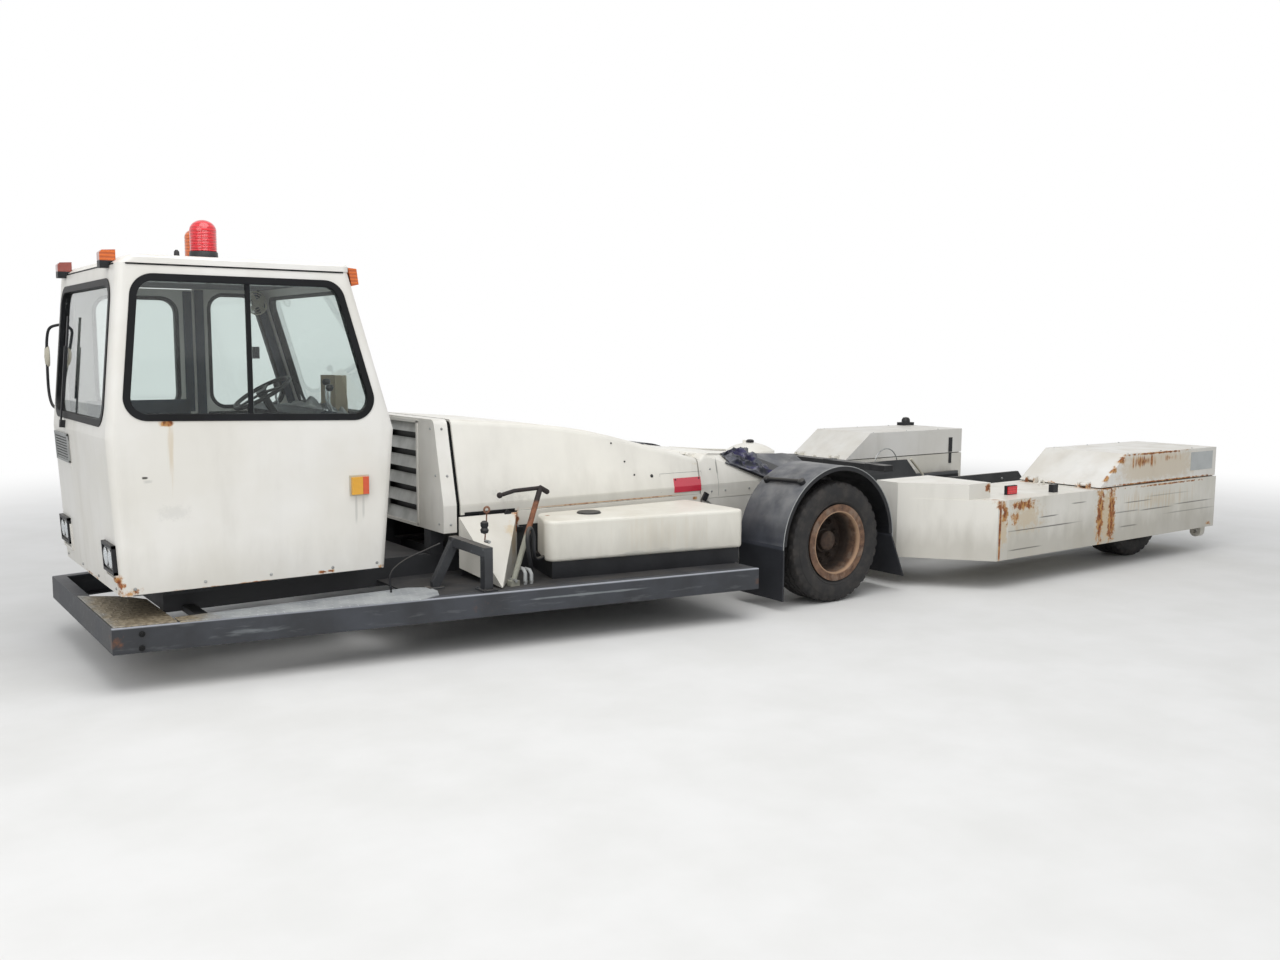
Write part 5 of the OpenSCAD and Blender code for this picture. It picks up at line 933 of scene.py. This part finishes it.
for sign in (-1, 1):
    plinth.box((st(0.56), sign * 0.19 - 0.012, 0.76), (st(0.44), sign * 0.19 + 0.012, 0.92))
plinth.make("seatPlinth", "chassis", bevel=0.006)

# Console fittings: dials, switches, levers, and the cloth and carton that lie on it
def consoleTop(x):
    return 1.324 - (3.056 - x) * 0.208


part = Piece(darkPlastic)
for k, y in enumerate((-0.30, -0.18, 0.18, 0.30)):
    at = Vector((2.935, y, consoleTop(2.935) + 0.004))
    part.use(chromeSteel).lathe([(-0.004, 0.04), (0.006, 0.04), (0.008, 0.036)], at, (-0.2, 0, 0.98), 28)
    part.use(palePlastic).lathe([(0.0, 0.036), (0.0065, 0.036), (0.007, 0.0)], at, (-0.2, 0, 0.98), 28)
for k in range(8):
    y = -0.085 + 0.0245 * k
    part.use(darkPlastic).box((2.965, y, 1.295), (2.99, y + 0.017, 1.318))
for x, y, h, r in ((3.02, 0.40, 0.20, 0.024), (3.03, 0.47, 0.17, 0.022), (3.02, -0.42, 0.16, 0.02)):
    part.use(chromeSteel).tube([(x - 0.06, y, 1.26), (x - 0.03, y, 1.26 + h * 0.6), (x - 0.035, y, 1.26 + h)], 0.007)
    part.use(darkPlastic).lathe([(0, 0.0), (0.004, r * 0.7), (0.02, r), (0.036, r * 0.7), (0.04, 0)],
                                (x - 0.035, y, 1.25 + h), (0, 0, 1), 18)
part.make("consoleFittings", "chassis", bevel=0.002)

cloth = Piece(linen)
grid = 26
verts = []
for i in range(grid + 1):
    for k in range(grid + 1):
        u, v = i / grid, k / grid
        x, y = 2.785 + 0.26 * u, -0.24 + 0.53 * v
        lump = abs(noise.noise(Vector((x * 13, y * 9, 3)))) * 0.09
        lump += abs(noise.noise(Vector((x * 38, y * 30, 7)))) * 0.02
        verts.append((x, y, consoleTop(x) + 0.006 + lump * min(1, 6 * u, 6 * (1 - u), 6 * v, 6 * (1 - v))))
cloth.add(verts, net(grid + 1, grid + 1))
cloth.use(cardboard).box((2.795, 0.05, 1.268), (2.875, 0.20, 1.50), Matrix.Rotation(0.2, 3, "Z"))
obj = cloth.make("clothOnConsole", "chassis", smooth=60)
thick = obj.modifiers.new("hem", "SOLIDIFY")
thick.thickness = 0.004

# Round fan under the ceiling at the rear corner: guard rings, hub and blades
part = Piece(palePlastic)
at, out = Vector((3.03, -0.585, 1.925)), Vector((0.75, 0.62, -0.1)).normalized()
across = out.orthogonal().normalized()
along = out.cross(across)
for r, k in ((0.068, 0.0), (0.055, 0.008), (0.04, 0.013), (0.025, 0.015)):
    ring = [at + out * (0.012 + k) + (across * math.cos(a * math.pi / 14) + along * math.sin(a * math.pi / 14)) * r
            for a in range(29)]
    part.tube(ring, 0.002 if r < 0.06 else 0.005, 6)
part.lathe([(-0.03, 0.024), (0.02, 0.024), (0.027, 0.014), (0.028, 0.0)], at, out, 24)
for k in range(4):
    a = k * math.pi / 2
    d = across * math.cos(a) + along * math.sin(a)
    e = out.cross(d)
    part.prism([at + d * p + e * q for p, q in ((0.022, -0.008), (0.058, -0.02), (0.06, 0.016), (0.022, 0.01))],
               out * 0.003)
part.use(darkPlastic).tube([at - out * 0.02, at + Vector((-0.012, -0.02, 0.05)), at + Vector((-0.01, -0.02, 0.088))],
                           0.008)
part.make("cabFan", "chassis", smooth=50)
print("cab inside done")


def onHood(x, z, out=0.0):  # point on the hoods' near side
    lean = math.radians(13.3)
    return Vector((x, 0.57 - max(0.0, z - 0.75) * math.tan(lean) + out, z + (out * math.tan(lean) if z > 0.75 else 0)))


# Hood fittings: blank red plate, access panel's outline, fasteners, and a black strip under the edge that paints the
# shade in the gap above the fairing
part = Piece(plateRed)
for z0, z1 in ((0.712, 0.7505), (0.7495, 0.806)):
    part.prism([onHood(x, z, 0.0006) for x, z in ((0.683, z0), (0.455, z0), (0.455, z1), (0.683, z1))],
               (0, 0.003, 0.0007))
part.use(darkPlastic)
for x in (0.668, 0.470):
    part.bolt(onHood(x, 0.797, 0.0036), (0, 1, 0.23), 0.008, 0.003)
for x, z, r in ((0.857, 0.834, 0.011), (0.995, 0.849, 0.006), (1.059, 0.937, 0.006), (1.146, 1.057, 0.006)):
    part.lathe([(0, r), (0.003, r), (0.004, r * 0.7)], onHood(x, z, 0.0003), (0, 1, 0.23), 14)
seam = Piece(greyPlastic)
for sign in (1, -1):
    lines = [[(0.79, 0.842), (0.44, 0.842)], [(0.79, 0.72), (0.79, 0.842)], [(0.44, 0.72), (0.44, 0.842)]]
    for line in lines if sign > 0 else lines[1:2]:
        seam.tube([mirrored(onHood(x, z, 0.0004), sign) for x, z in line], 0.001, 6)
# black strip: painted shade in the gap under the hood's edge above the fairing
seam.use(gasketRubber)
for sign in (1, -1):
    seam.box((1.90, sign * 0.5702, 0.6895), (2.235, sign * 0.5745, 0.704))
seam.make("hoodSeamsAndGapShade", "engine_hood")
part.make("hoodFittings", "engine_hood", bevel=0.0006)

# Moulded skirts below the hood and the rear hood, and a pale seal in the gap between the hoods
part = Piece(hoodPaint)
for sign in (1, -1):
    part.box((0.46, sign * 0.5705, 0.60), (1.885, sign * 0.5745, 0.6885))
    part.use(cowlPaint).box((-0.02, sign * 0.556, 0.47), (0.445, sign * 0.568, 0.654))
    part.use(hoodPaint)
gap = [onHood(0.4535, z, -0.004) for z in (0.665, 0.75, 0.86, 0.925)]
for sign in (1, -1):
    part.use(cowlPaint).prism([mirrored(p, sign) for p in gap]
                              + [mirrored(p - Vector((0, 0.02, 0)), sign) for p in reversed(gap)], (-0.008, 0, 0))
part.make("skirts", "chassis", bevel=0.002)

# T-latches that hold the hood down
part = Piece(darkPlastic)
for sign in (1, -1):
    for x in (0.415, 1.95):
        y = sign * 0.5745
        part.use(darkPlastic).box((x - 0.012, y - 0.006, 0.640), (x + 0.028, y + 0.010, 0.697),
                                  Matrix.Rotation(-0.5, 3, "Y"))
        part.use(zincSteel).rod((x - 0.010, y + 0.003, 0.640), (x - 0.075, y + 0.003, 0.590), 0.005)
        part.use(darkPlastic).box((x - 0.10, y - 0.006, 0.566), (x - 0.05, y + 0.012, 0.590))
part.make("hoodLatches", "chassis", bevel=0.002)

# Rear hood's seams, screws and cap
part = Piece(greyPlastic)
for sign in (1, -1):
    part.tube([mirrored(onHood(0.30, z, 0.0006), sign) for z in (0.665, 0.75, 0.86, 0.925)], 0.001, 6)
part.use(darkPlastic).lathe([(0, 0.03), (0.012, 0.03), (0.02, 0.02), (0.022, 0.0)], (-0.488, 0, 0.9602),
                            (0, 0, 1), 20)
part.use(zincSteel)
for sign in (1, -1):
    for x, z in ((0.36, 0.70), (0.36, 0.85), (0.24, 0.70), (0.02, 0.70)):
        part.bolt(mirrored(onHood(x, z, 0.0004), sign), (0, sign, 0), 0.010, 0.004)
part.make("rearHoodSeams", "chassis")

# Cowl screws and the grille's frame
part = Piece(zincSteel)
for sign in (1, -1):
    for z in (0.64, 0.92, 1.19):
        y = 0.57 - max(0.0, z - 0.75) * 0.2364
        part.bolt((st(1.885), sign * (y + 0.0005), z), (0, sign, 0.2), 0.011, 0.004)
        part.bolt((st(1.8395), sign * (y - 0.055), z), (1, 0, 0), 0.010, 0.004)
part.use(cowlPaint)
for sign in (1, -1):
    part.box((st(1.8395), sign * 0.23, 0.60), (st(1.832), sign * 0.248, 1.228))
for z in (0.592, 1.216):
    part.box((st(1.8395), -0.248, z), (st(1.832), 0.248, z + 0.018))
part.make("cowlScrews", "chassis", bevel=0.0015)

# Crumpled vinyl apron over the rear hood's near front facet; its flat size is the facet's under the cloth
corner = [Vector(p) for p in ((0.39, 0.5214, 0.944), (-0.171, 0.6, 0.735), (-0.24, 0.23, 0.898))]
apron = {"grid": 56, "off": 0.011, "fold": 0.042, "fine": 0.008, "thick": 0.002, "long": 0.6}
normal = (corner[1] - corner[0]).cross(corner[2] - corner[0]).normalized()
normal = normal if normal.z > 0 else -normal
grid, verts = apron["grid"], []
for i in range(grid + 1):
    for k in range(grid + 1):
        u, v = 0.36 + 0.66 * i / grid, -0.04 + 1.03 * k / grid
        p = corner[0] + u * (corner[2].lerp(corner[1], v) - corner[0])
        a, b = u * 3.4 + v * 1.6, v * 4.2 - u * 1.1
        fold = 1 - abs(noise.noise(Vector((a, b, 2.0))) * 2.4)
        fine = 1 - abs(noise.noise(Vector((a * 2.1, b * 1.9, 9.0))) * 2.4)
        edge = min(1.0, 8 * i / grid, 8 * (grid - k) / grid)
        high = max(0.0, fold) * apron["fold"] + max(0.0, fine) * apron["fine"]
        verts.append(p + normal * (apron["off"] + high * max(0.1, edge)))
part = Piece(apronVinyl)
part.add(verts, net(grid + 1, grid + 1))
obj = part.make("apronleft", "chassis", smooth=80)
thick = obj.modifiers.new("sheet", "SOLIDIFY")
thick.thickness = apron["thick"]

# Handle bar and bright worn lip on each mudguard
for sign, where in sides:
    part = Piece(darkPlastic)
    line = [Vector((x, sign * y, z)) for x, y, z in ((0.198, 0.94, 0.812), (0.192, 1.09, 0.817), (0.182, 1.25, 0.823))]
    part.tube(curveThrough(line, 8), 0.014, 10)
    for p in (line[0], line[-1]):
        out = Vector((p.x + axleBack, 0, p.z - wheelHigh)).normalized()
        part.lathe([(-0.018, 0.023), (0.008, 0.023), (0.016, 0.015), (0.018, 0)], p, out, 16)
    part.use(greyPlastic)
    part.tube(arc((-axleBack, sign * 1.3025, wheelHigh), 0.507, 40, 41), 0.0028, 6)
    part.make(f"guardTrim{where}", "chassis")
print("hood and guards done")

# Stand's fittings: bolt heads, foot plates, rusty ring, knob, pin and the thin stay rod
part = Piece(fittingPaint)
part.box((st(1.925), 0.95, 0.3305), (st(1.837), 1.055, 0.338))
part.box((st(1.715), 0.745, 0.3305), (st(1.625), 0.825, 0.337))
for x, y in ((st(1.91), 0.963), (st(1.91), 1.043), (st(1.85), 0.963), (st(1.85), 1.043)):
    part.bolt((x, y, 0.338), (0, 0, 1), 0.013, 0.006)
part.use(zincSteel).bolt((st(1.80), 0.8065, 0.588), (0, 1, 0), 0.024, 0.012)
part.rod((st(1.862), 1.03, 0.610), (st(1.862), 1.075, 0.610), 0.009)
part.use(ringRust)
part.tube(arc((st(1.895), 0.985, 0.775), 0.016, 12, 25), 0.006, 8)
part.use(ringRust).tube([(st(1.895), 0.985, 0.760), (st(1.89), 0.99, 0.70), (st(1.872), 1.0, 0.60)], 0.004, 8)
part.use(darkPlastic).lathe([(0, 0.006), (0.006, 0.020), (0.022, 0.024), (0.034, 0.016), (0.044, 0.022),
                             (0.062, 0.022), (0.072, 0.012), (0.074, 0.0)], (st(1.872), 1.0, 0.645), (0, 0, 1), 18)
part.use(darkPlastic).tube(curveThrough([(2.497, 0.775, 0.575), (2.60, 0.785, 0.545), (2.72, 0.79, 0.505),
                                         (2.80, 0.79, 0.44), (2.80, 0.79, 0.3375)], 6), 0.0055, 8)
part.make("standFittings", "chassis", bevel=0.0015)

# Light tubes beside the tank's front, and the return hose that loops in front of it
part = Piece(greyPlastic)
for x, y, h in ((2.075, 0.99, 0.415), (2.035, 0.99, 0.405)):
    part.tube([(x, y, 0.331), (x, y, h - 0.02), (x, y - 0.02, h), (x, y - 0.07, h)], 0.011, 12)
    part.use(zincSteel).lathe([(0, 0.014), (0.010, 0.014)], (x, y, 0.34), (0, 0, 1), 6)
    part.use(greyPlastic)
part.make("tankPipes", "chassis")
loop = curveThrough([(1.975, 0.9, 0.33), (2.0, 0.93, 0.40), (2.045, 0.98, 0.50), (2.06, 0.99, 0.58),
                     (2.045, 0.975, 0.635), (2.015, 0.955, 0.64), (1.995, 0.95, 0.59), (1.99, 0.945, 0.50),
                     (1.95, 0.90, 0.45), (1.876, 0.885, 0.455)], 10)
hose = Piece(hoseRubber)
hose.tube(loop, 0.011, 14)
obj = hose.make("returnHose", "chassis", smooth=80)

# Lever: pivot and knob on its grip
part = Piece(leverRust)
part.lathe([(0, 0.0), (0.004, 0.012), (0.012, 0.017), (0.024, 0.017), (0.032, 0.010), (0.034, 0.0)],
           (st(2.098), 0.8, 0.826), (1, 0, -0.2), 18)
part.use(zincSteel).rod((st(2.062), 0.945, 0.362), (st(2.062), 1.015, 0.362), 0.009)
part.make("leverFittings", "chassis")

# Beam fasteners and towing eyes along the perimeter beam
part = Piece(zincSteel)
part.use(gasketRubber)
for x, z in ((4.081, 0.293), (4.084, 0.224)):
    for sign, _ in sides:
        part.bolt((x, sign * (0.7835 + (4.21 - x) * 0.1685), z), (0.16, sign, 0), 0.020, 0.008)
part.use(fittingPaint)
for y in (-0.45, 0.45):
    part.lathe([(-0.006, 0.026), (0.0, 0.034), (0.006, 0.026)], (4.2035, y, 0.262), (1, 0, 0), 20)
part.make("beamBolts", "chassis")
print("deck fittings done")

# Arms: blank red marker, black block, lifting eyes and the rubber strip under the cover
for sign, where in sides:
    # the blank red marker takes the beacon's lens plastic, whose faint emission makes it glow as painted light
    part = Piece(redLens)
    part.box((-1.745, sign * 1.466, 0.636), (-1.640, sign * 1.492, 0.690))
    part.use(darkPlastic).box((-1.752, sign * 1.462, 0.6303), (-1.633, sign * 1.485, 0.696))
    part.box((-2.10, sign * 1.548, 0.6303), (-2.042, sign * 1.588, 0.688))
    part.use(zincSteel).bolt((-2.071, sign * 1.568, 0.688), (0, 0, 1), 0.012, 0.005)
    part.use(armPaint)
    for x in (-1.62, -2.40):
        part.tube(arc((x, sign * 1.24, 0.632), 0.034, 10, 11), 0.008, 8)
    part.use(gasketRubber).box((-4.207, sign * 0.98, 0.632), (-2.60, sign * 1.64, 0.6365))
    part.make(f"armFittings{where}", "chassis", bevel=0.002)

    # Cover's blank grey plate; on the far one a strap catch inside and a lamp on top
    part = Piece(platePlastic)
    if sign > 0:
        part.box((-4.15, 1.6605, 0.697), (-3.81, 1.662, 0.846))
    part.use(darkPlastic)
    if sign < 0:
        part.box((-4.055, -0.9505, 0.645), (-4.005, -0.942, 0.79))
        part.box((-4.19, -1.655, 0.8755), (-4.03, -1.56, 0.905))
        part.lathe([(0, 0.045), (0.03, 0.043), (0.05, 0.03), (0.056, 0.0)], (-4.11, -1.605, 0.904), (0, 0, 1), 20)
    part.use(zincSteel)
    for x in (-2.93, -3.4, -3.87):
        for y in (1.63, 0.98):
            part.bolt((x, sign * y, 0.8755), (0, 0, 1), 0.011, 0.004)
    part.make(f"coverFittings{where}", f"cover_{where}", bevel=0.0015)

# Strap catch on the far arm and the ribbed cover over the hoses on the cross frame
strap = Piece(darkPlastic)
strap.box((-4.05, -0.9495, 0.53), (-4.01, -0.943, 0.632))
strap.box((-1.402, -0.62, 0.7385), (-1.30, 0.62, 0.786))
for y in (-0.45, 0.0, 0.45):
    strap.box((-1.404, y - 0.03, 0.738), (-1.298, y + 0.03, 0.790))
strap.make("catchAndHoseCover", "chassis", bevel=0.004)

# Cradle: pale stay, grab hoop, wear strips and bolts
part = Piece(palePlastic)
part.tube([(-3.01, -0.583, 0.652), (-3.185, -0.583, 0.50), (-3.20, -0.583, 0.42)], 0.011, 12)
part.use(zincSteel)
part.tube(curveThrough([(-2.55, -0.607, 0.648), (-2.57, -0.607, 0.70), (-2.63, -0.607, 0.748), (-2.70, -0.607, 0.762),
                        (-2.77, -0.607, 0.745), (-2.83, -0.607, 0.69), (-2.845, -0.607, 0.648)], 6), 0.005, 10)
part.use(gasketRubber)
for y in (-0.42, 0.0, 0.42):
    part.box((-3.02, y - 0.05, 0.1852), (-2.22, y + 0.05, 0.193))
part.use(zincSteel)
for sign in (1, -1):
    for x, z in ((-2.05, 0.45), (-2.3, 0.6), (-2.75, 0.6), (-2.3, 0.30), (-2.75, 0.30)):
        part.bolt((x, sign * 0.6205, z), (0, sign, 0), 0.018, 0.008)
    part.bolt((-1.55, sign * 0.5825, 0.42), (0, -sign, 0), 0.036, 0.012)
part.make("cradleFittings", "cradle", bevel=0.0015)
for sign, where in sides:
    part = Piece(gasketRubber)
    part.box((-4.075, sign * 0.8775, 0.27), (-3.50, sign * 0.8705, 0.43))
    part.use(zincSteel)
    for k in range(5):
        part.bolt((-3.55 - 0.12 * k, sign * 0.8705, 0.35), (0, -sign, 0), 0.014, 0.004)
    part.make(f"gatePad{where}", f"gate_{where}", bevel=0.0015)

# Engine dressing, seen with the hood up: air filter, exhaust, fan shroud, alternator, pipes and caps
part = Piece(darkPlastic)
part.lathe([(0, 0.10), (0.01, 0.105), (0.30, 0.105), (0.33, 0.09), (0.335, 0.03)], (1.60, 0.30, 0.86), (-1, 0, 0), 32)
part.box((2.16, -0.22, 0.62), (2.20, 0.22, 1.02))
part.use(gasketRubber)
hoses = [(0.035, 14, [(1.27, 0.30, 0.86), (1.18, 0.28, 0.90), (1.12, 0.18, 0.93), (1.14, 0.06, 0.93)]),
         (0.026, 12, [(2.16, 0.15, 0.95), (2.08, 0.15, 0.97), (2.02, 0.12, 0.93), (1.98, 0.10, 0.90)]),
         (0.026, 12, [(2.16, -0.15, 0.66), (2.09, -0.2, 0.64), (2.03, -0.24, 0.66), (1.97, -0.24, 0.70)])]
for r, steps, line in hoses:
    part.tube(curveThrough(line, 6), r, steps)
part.use(ringRust)
for k in range(4):
    x = 1.85 - 0.22 * k
    part.tube([(x, -0.20, 0.80), (x, -0.29, 0.79), (x - 0.01, -0.31, 0.74)], 0.022, 10)
part.tube([(1.90, -0.31, 0.735), (1.15, -0.31, 0.735), (1.05, -0.30, 0.66)], 0.034, 14)
part.use(zincSteel)
part.lathe([(0, 0.06), (0.12, 0.06), (0.125, 0.03)], (2.0, 0.33, 0.66), (-1, 0, 0), 20)
for k in range(6):
    for y in (0.10, -0.10):
        part.bolt((1.80 - 0.15 * k, y, 0.94), (0, 0, 1), 0.02, 0.012)
# the yellow cap takes the lamp acrylic, so it glows faintly as painted light
part.use(yellowLens).lathe([(0, 0.03), (0.02, 0.03), (0.024, 0.02)], (1.4, 0.0, 0.94), (0, 0, 1), 18)
part.make("engineDressing", "chassis", smooth=50)
print("arms, covers, cradle and engine done")

# Camera, matched to the photograph by measuring the machine
camera = {"at": (5.339, 6.539, 1.66), "yaw": 53.77, "pitch": 6.51, "roll": 0.32, "lens": 32.32}
yaw, pitch, roll = (math.radians(camera[k]) for k in ("yaw", "pitch", "roll"))
forward = Vector((-math.cos(yaw) * math.cos(pitch), -math.sin(yaw) * math.cos(pitch), -math.sin(pitch)))
right = Vector((-math.sin(yaw), math.cos(yaw), 0))
up = Vector((-math.cos(yaw) * math.sin(pitch), -math.sin(yaw) * math.sin(pitch), math.cos(pitch)))
side = right * math.cos(roll) + up * math.sin(roll)
top = -right * math.sin(roll) + up * math.cos(roll)
cam = bpy.data.objects.new("camera", bpy.data.cameras.new("camera"))
bpy.context.scene.collection.objects.link(cam)
cam.matrix_world = Matrix((side, top, -forward)).transposed().to_4x4()
cam.location = camera["at"]
cam.data.sensor_width, cam.data.lens, cam.data.clip_end = 36, camera["lens"], 400
bpy.context.scene.camera = cam

# Pale floor that fades to white with distance for the camera, and soft light with broad lamps overhead and in front
floorMesh = bpy.data.meshes.new("floor")
floorMesh.from_pydata([(-150, -150, 0), (150, -150, 0), (150, 150, 0), (-150, 150, 0)], [], [[0, 1, 2, 3]])
floor = bpy.data.objects.new("floor", floorMesh)
bpy.context.scene.collection.objects.link(floor)
floorMat, tree, where = newMaterial("paleConcreteFloor")
tint = layer(tree, "#d6d5d2", "#dedddb", grain(tree, where, 2, 0.2, 0.8, 4))
ground = addNode(tree, "BsdfPrincipled", {"Base Color": tint, "Roughness": 0.85})
away = addNode(tree, "VectorMath", {0: where}, "Value", operation="LENGTH")
away = addNode(tree, "MapRange", {0: away, 1: 4.2, 2: 11.0}, interpolation_type="SMOOTHSTEP")
seen = addNode(tree, "Math", {0: addNode(tree, "LightPath", out="Is Camera Ray"),
                              1: addNode(tree, "LightPath", out="Is Transmission Ray")}, operation="MAXIMUM")
away = addNode(tree, "Math", {0: away, 1: seen}, operation="MULTIPLY")
white = addNode(tree, "Emission", {"Color": (1, 1, 1, 1), "Strength": 1.0})
addNode(tree, "OutputMaterial", {"Surface": addNode(tree, "MixShader", {0: away, 1: ground, 2: white})})
floorMesh.materials.append(floorMat)

world = bpy.data.worlds.new("studio")
bpy.context.scene.world = world
world.use_nodes = True
tree = world.node_tree
tree.nodes.clear()
seen = None
for kind in ("Is Camera Ray", "Is Glossy Ray", "Is Transmission Ray"):
    ray = addNode(tree, "LightPath", out=kind)
    seen = ray if seen is None else addNode(tree, "Math", {0: seen, 1: ray}, operation="MAXIMUM")
soft = addNode(tree, "Background", {"Color": linear("#f2f5f9"), "Strength": 0.62})
plain = addNode(tree, "Background", {"Color": (1, 1, 1, 1), "Strength": 1.0})
addNode(tree, "OutputWorld", {"Surface": addNode(tree, "MixShader", {0: seen, 1: soft, 2: plain})})

for name, at, aim, size, power in (("overhead", (2.5, 3.5, 8.5), (0, 0, 0.4), 9, 520),
                                   ("front", (9, 5, 4.5), (0.5, 0, 0.8), 6, 190)):
    lamp = bpy.data.lights.new(name, "AREA")
    lamp.shape, lamp.size, lamp.energy = "DISK", size, power
    holder = bpy.data.objects.new(name, lamp)
    bpy.context.scene.collection.objects.link(holder)
    holder.location = at
    holder.rotation_euler = (Vector(aim) - Vector(at)).to_track_quat("-Z", "Y").to_euler()
bpy.context.scene.view_settings.view_transform = "Standard"
print("camera, floor and light are set")
